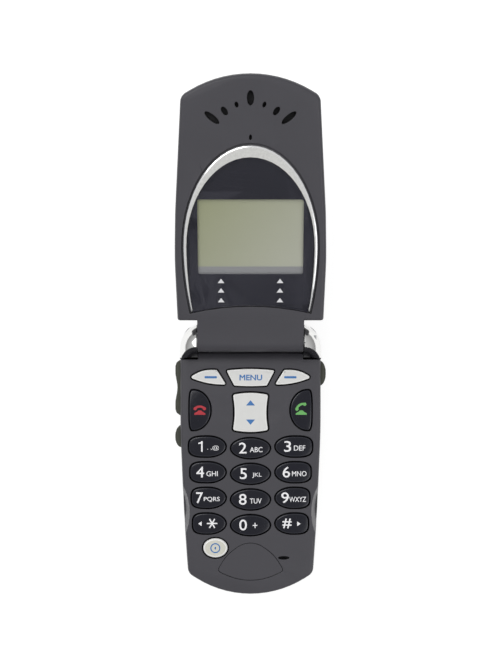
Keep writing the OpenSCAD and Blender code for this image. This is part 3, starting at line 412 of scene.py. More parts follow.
class Look(Enum):
    """The finishes of this phone."""

    SHELL = Finish("charcoal_paint", "434248", roughness=0.46, mottle=0.03, mottle_size=14,
                   gloss_wander=0.04, grain=0.012, grain_size=0.09)
    # the same charcoal painted lighter, for the grazing light that the housings' flanks catch
    LIT_FLANK = Finish("charcoal_lit_flank", "49494c", roughness=0.42, mottle=0.04, mottle_size=9,
                   grain=0.014, grain_size=0.11)
    # dark plastic of the keys' cores, also painted into the housings' openings and deep floors as
    # shade
    CORE_AND_SHADE = Finish("dark_core_and_shade", "242427", roughness=0.4, grain=0.01)
    DOOR = Finish("charcoal_moulding", "403f44", roughness=0.52, mottle=0.04, grain=0.02,
                  grain_size=0.14)
    CHROME = Finish("bright_chrome", "cfcfca", roughness=0.13, metallic=1.0, mottle=0.02,
                    gloss_wander=0.03)
    SILVER = Finish("silver_lacquer", "dcdcd9", roughness=0.32, metallic=0.3, mottle=0.07,
                    mottle_size=0.6, grain=0.012, grain_size=0.12, coat=0.3)
    # the silver painted brighter, for the highlight along the arch's outer bevel
    SILVER_HIGHLIGHT = Finish("painted_silver_highlight", "f2f2f4", roughness=0.16, metallic=0.6, mottle=0.02)
    PEARL = Finish("pearl_lacquer", "e4e4e2", roughness=0.34, mottle=0.02,
                   mottle_size=3.0, grain=0.004, coat=0.4)
    # the pearl painted paler, for the highlight along the silver keys' rounded rims
    PEARL_HIGHLIGHT = Finish("pearl_painted_highlight", "fcfcfa", roughness=0.25, mottle=0.01, coat=0.5)
    BEIGE = Finish("pearl_beige", "dad9cd", roughness=0.34, mottle=0.02, coat=0.4)
    KEY = Finish("black_polycarbonate", "151621", roughness=0.24, mottle=0.08, mottle_size=3.0,
                 level=0.3)
    RUBBER = Finish("olive_rubber", "45473e", roughness=0.62, mottle=0.07, mottle_size=3.0,
                    grain=0.02, grain_size=0.12)
    WINDOW = Finish("clear_window", "4a4a58", roughness=0.05, mottle=0.01, gloss_wander=0.0,
                    alpha=0.1)
    MASK = Finish("window_print", "282833", roughness=0.3, mottle=0.01, gloss_wander=0.0)
    OUTER_WINDOW = Finish("smoked_window", "17171d", roughness=0.06, mottle=0.02,
                          gloss_wander=0.02, coat=1.0)
    BOARD = BoardFinish("solder_mask", "175233", roughness=0.4)
    TIN = BrushedFinish("tinned_steel", "b9babc", roughness=0.3, metallic=1.0)
    STEEL = BrushedFinish("turned_steel", "a9aaad", roughness=0.22, metallic=1.0,
                          along=(1.0, 0.08, 0.08))
    # the black painted lighter, for the highlight along the dark keys' rims
    KEY_HIGHLIGHT = Finish("black_rim_highlight", "24252f", roughness=0.16, mottle=0.05, coat=0.3)
    # dark finish painted on the chrome ears' hollows as shade
    HOLLOW_SHADE = Finish("hollow_painted_shade", "26262a", roughness=0.22, mottle=0.1, mottle_size=1.2, coat=0.4)
    FLEX = Finish("amber_ribbon", "b9772a", roughness=0.35, metallic=0.2, mottle=0.1,
                  mottle_size=2.0)
    SILICONE = Finish("grey_silicone", "bdbdb6", roughness=0.6, grain=0.01)
    WRAP = Finish("battery_film", "2c2c30", roughness=0.45, mottle=0.1, mottle_size=10)
    MOULDING = Finish("black_moulding", "1b1b1d", grain=0.015)
    CLOTH = ClothFinish("acoustic_cloth", "151517", roughness=0.9)
    WHITE_INK = Finish("white_ink", "fafafc", mottle=0.02, mottle_size=1.0)
    BLUE_INK = Finish("blue_ink", "3f78b8", mottle_size=1.0)
    RED_INK = Finish("red_ink", "b92f3b", mottle_size=1.0)
    GREEN_INK = Finish("green_ink", "6fb865", mottle_size=1.0)

    def material(self) -> bpy.types.Material:
        """Return this finish's material."""
        return self.value.material()


# ------------------------------------------------------------------ making pieces

def lid_matrix() -> Matrix:
    """Find the lid's own frame: X across, Y along the lid, Z out of its inner face.

    Returns:
        Its place and turn in the open phone.
    """
    hinge = next(j for j in frame["joints"] if j["name"] == "lid_hinge")
    tilt = math.pi - math.radians(hinge["range_deg"][1])
    return Matrix.Translation(hinge["pos_m"]) @ Matrix.Rotation(tilt, 4, "X")


LID = lid_matrix()
HINGE = LID.to_translation()


def shade(mesh: bpy.types.Mesh, angle: float) -> None:
    """Shade a mesh smooth, except across edges sharper than an angle in degrees."""
    mesh.shade_smooth()
    mesh.set_sharp_from_angle(angle=math.radians(angle))


def linked(name: str, data: bpy.types.ID) -> bpy.types.Object:
    """Make an object and put it into the scene.

    Args:
        name: Its name.
        data: Its mesh, letters, lamp or camera.

    Returns:
        The object.
    """
    made = bpy.data.objects.new(name, data)
    bpy.context.scene.collection.objects.link(made)
    return made


def used_up(bm: bmesh.types.BMesh, name: str) -> bpy.types.Mesh:
    """Turn a bmesh into a mesh.

    Args:
        bm: The bmesh, which is used up.
        name: Name of the mesh.

    Returns:
        The mesh.
    """
    mesh = bpy.data.meshes.new(name)
    bm.to_mesh(mesh)
    bm.free()
    return mesh


def join(bm: bmesh.types.BMesh, other: bmesh.types.BMesh) -> None:
    """Add one bmesh to another.

    Args:
        bm: What is added to.
        other: What is added, which is used up.
    """
    mesh = used_up(other, "joined")
    bm.from_mesh(mesh)
    bpy.data.meshes.remove(mesh)


def slice_at(bm: bmesh.types.BMesh, at: Vector, normal: Iterable[float],
             **sides: bool) -> list[bmesh.types.BMEdge]:
    """Cut a mesh along a plane.

    Args:
        bm: The mesh.
        at: A point of the plane.
        normal: Its normal.
        **sides: clear_outer or clear_inner, to drop what lies beyond or before it.

    Returns:
        The edges along the cut.
    """
    cut = bmesh.ops.bisect_plane(bm, geom=bm.verts[:] + bm.edges[:] + bm.faces[:], dist=FUSE,
                                 plane_co=at, plane_no=normal, **sides)["geom_cut"]
    return [e for e in cut if isinstance(e, bmesh.types.BMEdge)]


def round_edges(piece: bpy.types.Object, width: float, segments: int = 3,
                angle: float = 32) -> None:
    """Round a piece's sharp edges with a live modifier.

    Args:
        piece: The piece.
        width: Width of the rounding, in millimetres.
        segments: Faces across it.
        angle: Edges sharper than this, in degrees, are rounded.
    """
    bevel = piece.modifiers.new("rounding", "BEVEL")
    bevel.width = width * MM
    bevel.segments = segments
    bevel.limit_method = "ANGLE"
    bevel.angle_limit = math.radians(angle)
    bevel.use_clamp_overlap = False


@dataclass
class Maker:
    """Makes pieces that ride on one body, and notes their names.

    Attributes:
        body: The CAD body that the pieces move with.
        made: Names of the pieces so far.
    """

    body: str
    made: list[str] = field(default_factory=list)

    def piece(self, name: str, bm: bmesh.types.BMesh, looks: Iterable[Look], slot: str,
              angle: float = 32, body: str | None = None) -> bpy.types.Object:
        """Turn a bmesh into a finished piece.

        Args:
            name: Name of the piece.
            bm: Its mesh in metres, which is used up.
            looks: Its finishes, in the order of its material slots.
            slot: The record's material slot; not used.
            angle: Edges sharper than this, in degrees, are shaded sharp.
            body: Body to ride on, if not the maker's own.

        Returns:
            The piece.
        """
        mesh = used_up(bm, name)
        shade(mesh, angle)
        piece = linked(name, mesh)
        for look in looks:
            mesh.materials.append(look.material())
        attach(piece, body or self.body)
        self.made.append(name)
        return piece

    def dressed(self, node: str, looks: Iterable[Look], slot: str, width: float,
                body: str | None = None, mark: Callable | None = None) -> None:
        """Make a copy of a CAD node with rounded edges, which stands for the node.

        Args:
            node: The CAD node.
            looks: Finishes of the copy.
            slot: The record's material slot.
            width: Width of the rounding, in millimetres.
            body: Body to ride on, if not the maker's own.
            mark: Reshapes the copy, or gives its faces their finish.
        """
        bm = merged_copy(node)
        if mark:
            mark(bm)
        piece = self.piece(f"{node}_shape", bm, looks, slot, body=body)
        round_edges(piece, width)
        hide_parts(node)

    def capped(self, node: str, cap: "Cap", looks: list[Look], slot: str,
               body: str) -> bpy.types.Object:
        """Make a key from its solid, with a cap in place of the solid's own top.

        Args:
            node: The CAD node.
            cap: The cap.
            looks: Finishes of the dome, its rim with its painted highlight, and what lies below.
            slot: The record's material slot.
            body: Body to ride on.

        Returns:
            The key.
        """
        bm = merged_copy(node)
        for face in bm.faces:
            face.material_index = 2
        top = top_of(node)
        edges = slice_at(bm, top - Vector((0, 0, cap.depth * MM)), (0, 0, 1), clear_outer=True)
        rim = loop_of(edges)
        for face in bmesh.ops.holes_fill(bm, edges=edges, sides=0)["faces"]:
            face.material_index = 2
        join(bm, cap.build(rim, top))
        piece = self.piece(f"{node}_shape", bm, looks, slot, 50, body)
        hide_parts(node)
        return piece

    def finish_node(self, node: str, look: Look | Finish) -> None:
        """Give a CAD node that stays as it is its finish.

        Args:
            node: The CAD node.
            look: Its finish.
        """
        mesh = frame["nodes"][node].data
        mesh.materials.clear()
        mesh.materials.append(look.material())
        self.made.append(node)


def merged_copy(node: str) -> bmesh.types.BMesh:
    """Copy a CAD node's mesh, with its loose triangles joined into the solid's own faces.

    Args:
        node: The CAD node.

    Returns:
        The copy, all of it in the first material slot.
    """
    bm = bmesh.new()
    bm.from_mesh(frame["nodes"][node].data)
    bmesh.ops.remove_doubles(bm, verts=bm.verts, dist=0.002 * MM)
    bmesh.ops.dissolve_limit(bm, angle_limit=math.radians(0.3), use_dissolve_boundaries=False,
                             verts=bm.verts, edges=bm.edges, delimit={"NORMAL"})
    for face in bm.faces:
        face.material_index = 0
    return bm


def difference(solid: bmesh.types.BMesh, tool: bmesh.types.BMesh) -> bmesh.types.BMesh:
    """Cut one closed mesh out of another; both are used up.

    Args:
        solid: What is cut.
        tool: What it is cut by; its faces keep their slot.

    Returns:
        The cut mesh.
    """
    body, cutter = (linked("scratch", used_up(bm, "scratch")) for bm in (solid, tool))
    for holder in (body, cutter):
        for _ in range(2):
            holder.data.materials.append(None)
    cut = body.modifiers.new("cut", "BOOLEAN")
    cut.object = cutter
    cut.operation = "DIFFERENCE"
    cut.solver = "EXACT"
    view = bpy.context.evaluated_depsgraph_get()
    view.update()
    mesh = bpy.data.meshes.new_from_object(body.evaluated_get(view))
    bm = bmesh.new()
    bm.from_mesh(mesh)
    for holder in (body, cutter):
        data = holder.data
        bpy.data.objects.remove(holder)
        bpy.data.meshes.remove(data)
    bpy.data.meshes.remove(mesh)
    return bm


def paint_hollow_shade(bm: bmesh.types.BMesh, up: Vector, reach: float, sunk: Callable) -> None:
    """Paint shade into openings: give the second finish, a dark one, to the walls of openings and
    to floors that lie deep.

    Args:
        bm: The mesh.
        up: Direction out of the surface that is seen.
        reach: Walls that look at another wall within this distance are in an opening.
        sunk: Says whether a face that looks up lies deep, from its middle.
    """
    tree = BVHTree.FromBMesh(bm)
    for face in bm.faces:
        middle = face.calc_center_median()
        if abs(face.normal.dot(up)) < 0.5:
            start = middle + face.normal * 0.01 * MM
            hollow = tree.ray_cast(start, face.normal, reach * MM)[0] is not None
        else:
            hollow = face.normal.dot(up) > 0 and sunk(middle)
        # this face is painted dark as shade
        if hollow:
            face.material_index = 1


def swell(bm: bmesh.types.BMesh, weight: float) -> None:
    """Move a flat mesh's outline outwards, which makes letters bolder.

    Args:
        bm: The mesh, flat at Z 0, with its faces upwards.
        weight: How far, in millimetres.
    """
    shifts = {}
    for vert in bm.verts:
        edges = [e for e in vert.link_edges if e.is_boundary]
        if len(edges) != 2:
            continue
        normals = []
        for edge in edges:
            along = edge.verts[1].co - edge.verts[0].co
            across = Vector((along.y, -along.x, 0)).normalized()
            inside = edge.link_faces[0].calc_center_median() - edge.verts[0].co
            normals.append(-across if across.dot(inside) > 0 else across)
        total = normals[0] + normals[1]
        shifts[vert] = total * weight * MM / max(1 + normals[0].dot(normals[1]), 0.5)
    for vert, shift in shifts.items():
        vert.co += shift


def gridded(bm: bmesh.types.BMesh, step: float) -> None:
    """Cut a flat mesh along a grid, so that it can follow a curved surface.

    Args:
        bm: The mesh, in metres.
        step: Grid spacing, in millimetres.
    """
    for axis in (0, 1):
        low = min(v.co[axis] for v in bm.verts)
        high = max(v.co[axis] for v in bm.verts)
        normal = Vector([1.0 if k == axis else 0.0 for k in range(3)])
        for k in range(1, math.ceil((high - low) / (step * MM))):
            slice_at(bm, normal * (low + k * step * MM), normal)


def drape(bm: bmesh.types.BMesh, target: bpy.types.Object, lift: float) -> None:
    """Lower a flat mesh straight down onto a piece, keeping its own thickness.

    Args:
        bm: The mesh, in metres, whose own Z is measured from the surface.
        target: The piece or node that it lies on.
        lift: Height over the surface, in millimetres.
    """
    tree = BVHTree.FromObject(target, bpy.context.evaluated_depsgraph_get())
    down = Vector((0, 0, -1))
    for vert in bm.verts:
        hit = tree.ray_cast(Vector((vert.co.x, vert.co.y, 1.0)), down)[0]
        if hit is not None:
            vert.co.z += hit.z + lift * MM


def solid_plate(bm: bmesh.types.BMesh, thickness: float) -> None:
    """Give a flat mesh at Z 0 a thickness downwards, closed all round.

    Args:
        bm: The mesh, with faces upwards.
        thickness: In millimetres.
    """
    made = bmesh.ops.extrude_face_region(bm, geom=bm.faces[:])
    top = [v for v in made["geom"] if isinstance(v, bmesh.types.BMVert)]
    bmesh.ops.translate(bm, vec=(0, 0, thickness * MM), verts=top)
    bmesh.ops.recalc_face_normals(bm, faces=bm.faces)
    bmesh.ops.translate(bm, vec=(0, 0, -thickness * MM), verts=bm.verts)


def polygon(bm: bmesh.types.BMesh, points: Iterable[tuple[float, float]],
            rounding: float = 0.0) -> None:
    """Add a flat polygon, with its corners rounded.

    Args:
        bm: The mesh to add to.
        points: Corners in millimetres, anticlockwise.
        rounding: Reach of the rounding at each corner, in millimetres.
    """
    verts = [bm.verts.new((x * MM, y * MM, 0)) for x, y in points]
    face = bm.faces.new(verts)
    if rounding:
        bmesh.ops.bevel(bm, geom=verts, offset=rounding * MM, offset_type="OFFSET",
                        affect="VERTICES", segments=4, profile=0.5, material=-1)
    elif face.normal.z < 0:
        face.normal_flip()


# ------------------------------------------------------------------ legends

@dataclass(frozen=True)
class Lettering:
    """A short run of plain letters or digits printed on a key.

    Attributes:
        text: The letters.
        x: Middle of the run, in millimetres from the phone's middle line.
        rise: Middle of the run above the key's middle, in millimetres.
        height: Height of a capital or digit, in millimetres.
        width: Width of the whole run, in millimetres.
        weight: How much bolder than the plain face, in millimetres.
    """

    text: str
    x: float
    rise: float
    height: float
    width: float
    weight: float = 0.0

    def build(self, middle_y: float) -> bmesh.types.BMesh:
        """Make the letters as a flat mesh at their place.

        Args:
            middle_y: Y of the key's middle, in millimetres.

        Returns:
            The mesh, flat at Z 0.
        """
        curve = bpy.data.curves.new("letters", "FONT")
        curve.body = self.text
        curve.align_x = "CENTER"
        curve.resolution_u = 4
        holder = linked("letters", curve)
        bpy.context.view_layer.update()
        mesh = bpy.data.meshes.new_from_object(holder)
        bm = bmesh.new()
        bm.from_mesh(mesh)
        bpy.data.objects.remove(holder)
        bpy.data.curves.remove(curve)
        bpy.data.meshes.remove(mesh)
        bmesh.ops.remove_doubles(bm, verts=bm.verts, dist=1e-5)
        low = Vector([min(v.co[k] for v in bm.verts) for k in range(2)])
        high = Vector([max(v.co[k] for v in bm.verts) for k in range(2)])
        span = high - low
        place = (Matrix.Translation((self.x * MM, (middle_y + self.rise) * MM, 0))
                 @ Matrix.Diagonal((self.width * MM / span.x, self.height * MM / span.y, 1, 1))
                 @ Matrix.Translation((-(low.x + high.x) / 2, -(low.y + high.y) / 2, 0)))
        bmesh.ops.transform(bm, matrix=place, verts=bm.verts)
        swell(bm, self.weight)
        return bm


@dataclass(frozen=True)
class Outline:
    """A legend drawn from straight-sided shapes about its own middle.

    Attributes:
        shapes: Corners of each shape in millimetres, anticlockwise.
        x: Its middle, in millimetres from the phone's middle line.
        rise: Its middle above the key's middle, in millimetres.
    """

    shapes: tuple[tuple[tuple[float, float], ...], ...]
    x: float
    rise: float

    def build(self, middle_y: float) -> bmesh.types.BMesh:
        """Make the shapes as a flat mesh at their place.

        Args:
            middle_y: Y of the key's middle, in millimetres.

        Returns:
            The mesh, flat at Z 0.
        """
        bm = bmesh.new()
        for shape in self.shapes:
            polygon(bm, [(self.x + x, middle_y + self.rise + y) for x, y in shape])
        return bm


def figure_one(x: float, rise: float) -> Outline:
    """Draw the digit 1: a stem with a short flag.

    Args:
        x: Its middle, in millimetres from the phone's middle line.
        rise: Its middle above the key's middle, in millimetres.

    Returns:
        The digit.
    """
    half, stem, flag = 1.65, 0.2, 0.68
    shape = ((stem, -half), (flag, -half), (flag, half), (0.25, half), (0.0, 1.3), (-flag, 1.1),
             (-flag, 0.72), (stem, 0.9))
    return Outline((shape,), x, rise)


def star(x: float, rise: float) -> Outline:
    """Draw a star of three crossed bars, one of them level, each cut in two at the middle.

    Args:
        x: Its middle, in millimetres from the phone's middle line.
        rise: Its middle above the key's middle, in millimetres.

    Returns:
        The star.
    """
    reach, half = 1.62, 0.2
    arms = []
    for k in range(6):
        turn = math.radians(60 * k)
        across = Vector((-math.sin(turn), math.cos(turn))) * half
        tip = Vector((math.cos(turn), math.sin(turn))) * reach
        arms.append((tuple(-across), tuple(tip - across), tuple(tip + across), tuple(across)))
    return Outline(tuple(arms), x, rise)


@dataclass(frozen=True)
class Triangle:
    """A small triangle, pointing along an angle.

    Attributes:
        x: Its middle, in millimetres.
        y: Its middle, in millimetres.
        base: Width across its base.
        height: From base to tip.
        turn: Direction of the tip in degrees, 90 for up.
    """

    x: float
    y: float
    base: float
    height: float
    turn: float = 90.0

    def add_to(self, bm: bmesh.types.BMesh) -> None:
        """Add the triangle to a flat mesh.

        Args:
            bm: The mesh.
        """
        made = bmesh.ops.create_circle(bm, cap_ends=True, segments=3, radius=MM / 1.5)
        # an upright triangle of unit height and base 2 / sqrt(3), its middle at the origin
        place = (Matrix.Translation((self.x * MM, self.y * MM, 0))
                 @ Matrix.Rotation(math.radians(self.turn - 90), 4, "Z")
                 @ Matrix.Diagonal((self.base * math.sqrt(3) / 2, self.height, 1, 1)))
        tips = sorted(made["verts"], key=lambda v: -v.co.y)
        spin = math.atan2(tips[0].co.y, tips[0].co.x) - math.pi / 2
        bmesh.ops.rotate(bm, cent=(0, 0, 0), matrix=Matrix.Rotation(-spin, 3, "Z"),
                         verts=made["verts"])
        bmesh.ops.transform(bm, matrix=place, verts=made["verts"])


def top_of(node: str) -> Vector:
    """Middle of a node's box, at its top."""
    low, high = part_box(node)
    return Vector(((low.x + high.x) / 2, (low.y + high.y) / 2, high.z))


# ------------------------------------------------------------------ the base

@dataclass
class Base(Maker):
    """Housings, plated ears and the bare inlay of the keypad half.

    Lengths along Y are measured from the hinge axis towards the keypad.

    Attributes:
        shell_edge: Rounding of the front housing's edges.
        back_edge: Rounding of the rear housing's edges.
        cap_edge: Rounding of the ears' edges.
        deep: Faces that look up from further below the keypad face are painted dark as shade.
        wall_reach: Walls that face another wall within this distance are in an opening, and are
            painted dark as shade.
        field_half: Half the width of the field that holds the openings.
        roll: Radius of the keypad face's roll towards the barrel.
        roll_start: Where the roll begins.
        roll_end: Where it ends.
        roll_cuts: Rows of faces along the roll.
        roll_past: How far the roll reaches past an ear's inner face.
        roll_drop: Nothing further below the keypad face follows the roll.
        plan: Radius of an ear's corner, seen from above.
        shoulder: Rounding between an ear's flank and its crest.
        shoulder_drop: Middle of that rounding, below the hinge axis.
        lean: How much an ear's flank leans in, per unit of height.
        front: Front of an ear.
        arc: Faces across an ear's shoulder.
        turns: Faces round its corner.
        sharp: Edges of an ear sharper than this, in degrees, are rounded.
        scoop: Radius of the conical hollow in an ear's front, at its floor.
        flare: How much that grows, per unit of height.
        scoop_at: Middle of the hollow, from the ear's inner face and from the hinge axis.
        scoop_floor: Its floor, below the keypad face.
        scoop_height: Height of the cone that cuts it.
        scoop_faces: Faces round it.
        core_share: Size of the core under an ear's plating, as a share of the solid's.
        core_start: Where the core begins, above the ear's foot.
        core_pivot: Where it shrinks to: from the hinge axis, and above the ear's foot.
    """

    body: str = "base"
    shell_edge: float = 0.14
    back_edge: float = 0.15
    cap_edge: float = 0.1
    deep: float = 1.0
    wall_reach: float = 25.0
    field_half: float = 16.0
    roll: float = 8.0
    roll_start: float = 7.8
    roll_end: float = 3.6
    roll_cuts: int = 6
    roll_past: float = 1.05
    roll_drop: float = 3.4
    plan: float = 8.2
    shoulder: float = 6.4
    shoulder_drop: float = 2.0
    lean: float = 0.06
    front: float = 5.3
    arc: int = 12
    turns: int = 24
    sharp: float = 38.0
    scoop: float = 3.9
    flare: float = 0.29
    scoop_at: tuple[float, float] = (0.2, 8.5)
    scoop_floor: float = 0.6
    scoop_height: float = 12.0
    scoop_faces: int = 96
    core_share: float = 0.68
    core_start: float = 3.0
    core_pivot: tuple[float, float] = (1.0, 4.0)

    def build(self) -> None:
        """Make the outer pieces of the base."""
        self.dressed("front_housing", [Look.SHELL, Look.CORE_AND_SHADE], "charcoal_shell", self.shell_edge,
                     mark=self.ease_face)
        # the rear housing takes the charcoal painted lighter for the light on its flanks
        self.dressed("rear_housing", [Look.LIT_FLANK], "charcoal_shell", self.back_edge,
                     mark=self.ease_corners)
        self.dressed("face_inlay", [Look.SHELL], "charcoal_shell", self.shell_edge)
        for side in ("left", "right"):
            self.build_ear(side)

    def ease_face(self, bm: bmesh.types.BMesh) -> None:
        """Turn the keypad face's dip under the barrel into a gentle roll, with painted shade in its
        openings.

        Args:
            bm: The front housing's mesh.
        """
        up = Vector((0, 0, 1))
        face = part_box("front_housing")[1].z
        # paint shade into the openings and the deep floors of the field
        paint_hollow_shade(bm, up, self.wall_reach, lambda at: at.z < face - self.deep * MM
                     and abs(at.x) < self.field_half * MM
                     and at.y < HINGE.y - self.roll_start * MM)
        reach = self.roll_start - self.roll_end
        for k in range(self.roll_cuts):
            start = self.roll_start - reach * k / self.roll_cuts
            slice_at(bm, Vector((0, HINGE.y - start * MM, 0)), (0, 1, 0))
        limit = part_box("hinge_cap_right")[0].x + self.roll_past * MM
        for vert in bm.verts:
            off = self.roll_start - (HINGE.y - vert.co.y) / MM
            looks_up = any(f.normal.z > 0.15 for f in vert.link_faces)
            if (off > 0.01 and abs(vert.co.x) < limit and looks_up
                    and vert.co.z > face - self.roll_drop * MM):
                off = min(off, reach)
                vert.co.z = face - (self.roll - math.sqrt(self.roll ** 2 - off ** 2)) * MM
        bm.normal_update()

    def ease_corners(self, bm: bmesh.types.BMesh) -> None:
        """Fit the rear housing to the ears: rounder corners, and smaller cores under them.

        Args:
            bm: The rear housing's mesh.
        """
        inner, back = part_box("hinge_cap_right")[0].x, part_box("hinge_cap_right")[1].y
        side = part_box("hinge_cap_right")[1].x
        plan = self.plan * MM
        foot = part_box("hinge_cap_right")[0].z
        for vert in bm.verts:
            across = abs(vert.co.x)
            if vert.co.z > foot + self.core_start * MM and across > inner - TOUCH:
                pivot = Vector((math.copysign(inner, vert.co.x),
                                HINGE.y - self.core_pivot[0] * MM, foot + self.core_pivot[1] * MM))
                vert.co = pivot + (vert.co - pivot) * self.core_share
                continue
            off = Vector((across - (side - plan), vert.co.y - (back - plan)))
            if off.x > 0 and off.y > 0 and off.length > plan:
                off *= plan / off.length
                vert.co.x = math.copysign(side - plan + off.x, vert.co.x)
                vert.co.y = back - plan + off.y
        bm.normal_update()

    def ear_surface(self) -> bmesh.types.BMesh:
        """Sweep the right ear's section round its corner and forwards, and close it.

        Returns:
            The ear, without its hollow.
        """
        low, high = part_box("hinge_cap_right")
        middle = Vector((high.x - self.plan * MM, high.y - self.plan * MM, 0))
        turn_z = HINGE.z - self.shoulder_drop * MM
        flank = self.plan - self.lean * (turn_z - low.z) / MM
        round_r = flank - self.shoulder
        section = [(0, low.z), (self.plan * MM, low.z)]
        for k in range(self.arc + 1):
            angle = math.pi / 2 * k / self.arc
            section.append(((round_r + self.shoulder * math.cos(angle)) * MM,
                            turn_z + self.shoulder * math.sin(angle) * MM))
        section.append((0, section[-1][1]))
        bm = bmesh.new()
        verts = [bm.verts.new((middle.x + r, middle.y, z)) for r, z in section]
        edges = [bm.edges.new(pair) for pair in zip(verts, verts[1:])]
        made = bmesh.ops.extrude_edge_only(bm, edges=edges)["geom"]
        front = [v for v in made if isinstance(v, bmesh.types.BMVert)]
        bmesh.ops.translate(bm, verts=front,
                            vec=(0, HINGE.y - self.front * MM - middle.y, 0))

        def order(vert: bmesh.types.BMVert) -> int:
            """Return which point of the section a front point belongs to."""
            x, z = vert.co.x - middle.x, vert.co.z
            return min(range(len(section)),
                       key=lambda k: math.hypot(x - section[k][0], z - section[k][1]))

        bm.faces.new(sorted(front, key=order))
        bmesh.ops.spin(bm, geom=verts + edges, cent=middle, axis=(0, 0, 1), steps=self.turns,
                       angle=math.pi / 2)
        bmesh.ops.remove_doubles(bm, verts=bm.verts, dist=1e-6)
        rim = slice_at(bm, Vector((low.x, 0, 0)), (1, 0, 0), clear_inner=True)
        bmesh.ops.holes_fill(bm, edges=rim, sides=0)
        bmesh.ops.recalc_face_normals(bm, faces=bm.faces)
        return bm

    def build_ear(self, side: str) -> None:
        """Make one plated ear, with the wall of the hollow in its front painted dark as shade.

        Args:
            side: left or right.
        """
        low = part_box("hinge_cap_right")[0]
        cone = bmesh.new()
        height = self.scoop_height * MM
        made = bmesh.ops.create_cone(cone, cap_ends=True, segments=self.scoop_faces,
                                     depth=height, radius1=self.scoop * MM,
                                     radius2=self.scoop * MM + self.flare * height)
        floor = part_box("front_housing")[1].z - self.scoop_floor * MM
        bmesh.ops.translate(cone, verts=made["verts"],
                            vec=(low.x + self.scoop_at[0] * MM, HINGE.y - self.scoop_at[1] * MM,
                                 floor + height / 2))
        # the cone's faces become the hollow's wall, which takes the painted shade
        for face in cone.faces:
            face.material_index = 1
        bm = difference(self.ear_surface(), cone)
        if side == "left":
            bmesh.ops.scale(bm, vec=(-1, 1, 1), verts=bm.verts)
            bmesh.ops.recalc_face_normals(bm, faces=bm.faces)
        node = f"hinge_cap_{side}"
        piece = self.piece(f"{node}_shape", bm, [Look.CHROME, Look.HOLLOW_SHADE], "bright_chrome",
                           self.sharp)
        round_edges(piece, self.cap_edge, 2, self.sharp)
        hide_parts(node)


@dataclass(frozen=True)
class Cap:
    """Domed top of a key, with a rounded rim.

    Attributes:
        dome: Radius of the dome, in millimetres.
        edge: Radius of the rounding along the rim.
        drum: Whether the dome bends along Y only.
        depth: How far below the crest the new top begins.
        tuck: How far its wall stands inside the solid's own.
        rings: Rings of faces on the dome.
        steps: Faces across the rounding.
    """

    dome: float
    edge: float
    drum: bool = False
    depth: float = 1.35
    tuck: float = 0.1
    rings: int = 7
    steps: int = 5

    def sink(self, off: Vector) -> float:
        """Find how far the dome lies below its crest.

        Args:
            off: Distance from its middle, in metres.

        Returns:
            The drop in metres.
        """
        radius = self.dome * MM
        reach = abs(off.y) if self.drum else math.hypot(off.x, off.y)
        return radius - math.sqrt(radius ** 2 - reach ** 2)

    def ring(self, step: int, rim: list[Vector], inwards: list[Vector],
             top: Vector) -> list[Vector]:
        """Find the places of one ring of the top, counted from the foot of its wall.

        Args:
            step: 0 for the wall's upper end, then the rounding, then the dome.
            rim: The outline.
            inwards: Direction towards the key's inside at each point of the outline.
            top: The crest.

        Returns:
            A place for each point of the outline.
        """
        edge = self.edge * MM
        turn = math.pi / 2 * min(step / self.steps, 1)
        inset = self.tuck * MM + edge * (1 - math.cos(turn))
        share = 1 - max(step - self.steps, 0) / (self.rings + 0.5)
        places = []
        for point, inward in zip(rim, inwards):
            off = (point + inward * inset - top) * share
            drop = self.sink(off) + edge * (1 - math.sin(turn))
            places.append(Vector((top.x + off.x, top.y + off.y, top.z - drop)))
        return places

    def build(self, rim: list[Vector], top: Vector) -> bmesh.types.BMesh:
        """Build the top over an outline, as a closed solid.

        Args:
            rim: The key's outline at the height where the top begins, in order.
            top: The crest.

        Returns:
            The top, its dome in slot 0, its rounding in 1 and its wall in 2.
        """
        bm = bmesh.new()
        bm.faces.new([bm.verts.new(point) for point in rim])
        # cut a quarter off each side at both its ends, which rounds the outline
        bmesh.ops.bevel(bm, geom=bm.verts[:], offset=25, offset_type="PERCENT",
                        affect="VERTICES", segments=1, profile=0.5, material=-1)
        face = bm.faces[:][0]
        bm.normal_update()
        if face.normal.z < 0:
            face.normal_flip()
        rim = [vert.co.copy() for vert in face.verts]
        count = len(rim)
        inwards = []
        for k in range(count):
            along = rim[(k + 1) % count] - rim[k - 1]
            inwards.append(Vector((-along.y, along.x, 0)).normalized())
        previous = rim
        for step in range(self.steps + self.rings + 1):
            places = self.ring(step, rim, inwards, top)
            old = face
            made = bmesh.ops.extrude_face_region(bm, geom=[old])["geom"]
            if step and old.is_valid:  # the old face would stay inside as a wall
                bmesh.ops.delete(bm, geom=[old], context="FACES_ONLY")
            face = next(f for f in made if isinstance(f, bmesh.types.BMFace))
            first = min(range(count), key=lambda k: (previous[k] - face.verts[0].co).length)
            for k, vert in enumerate(face.verts):
                vert.co = places[(first + k) % count]
                for side in vert.link_faces:
                    side.material_index = 2 if step == 0 else int(step <= self.steps)
            face.material_index = 0
            previous = places
        middle = bmesh.ops.poke(bm, faces=[face])["verts"][0]
        middle.co.z = top.z
        bmesh.ops.recalc_face_normals(bm, faces=bm.faces)
        return bm


def loop_of(edges: Iterable[bmesh.types.BMEdge]) -> list[Vector]:
    """Walk along a closed loop of edges.

    Args:
        edges: The edges, in any order.

    Returns:
        The places of its points, in order.
    """
    left = set(edges)
    edge = left.pop()
    start, vert = edge.verts
    places = [start.co.copy()]
    while vert != start:
        places.append(vert.co.copy())
        edge = next(e for e in vert.link_edges if e in left)
        left.discard(edge)
        vert = edge.other_vert(vert)
    return places


@dataclass(frozen=True)
class NumberKey:
    """Legends of one number key.

    Attributes:
        node: The key's CAD node.
        marks: Its digit and letters.
        arrows: Its arrow, on two keys of the lowest row.
    """

    node: str
    marks: tuple[Lettering | Outline, ...]
    arrows: tuple[Triangle, ...] = ()


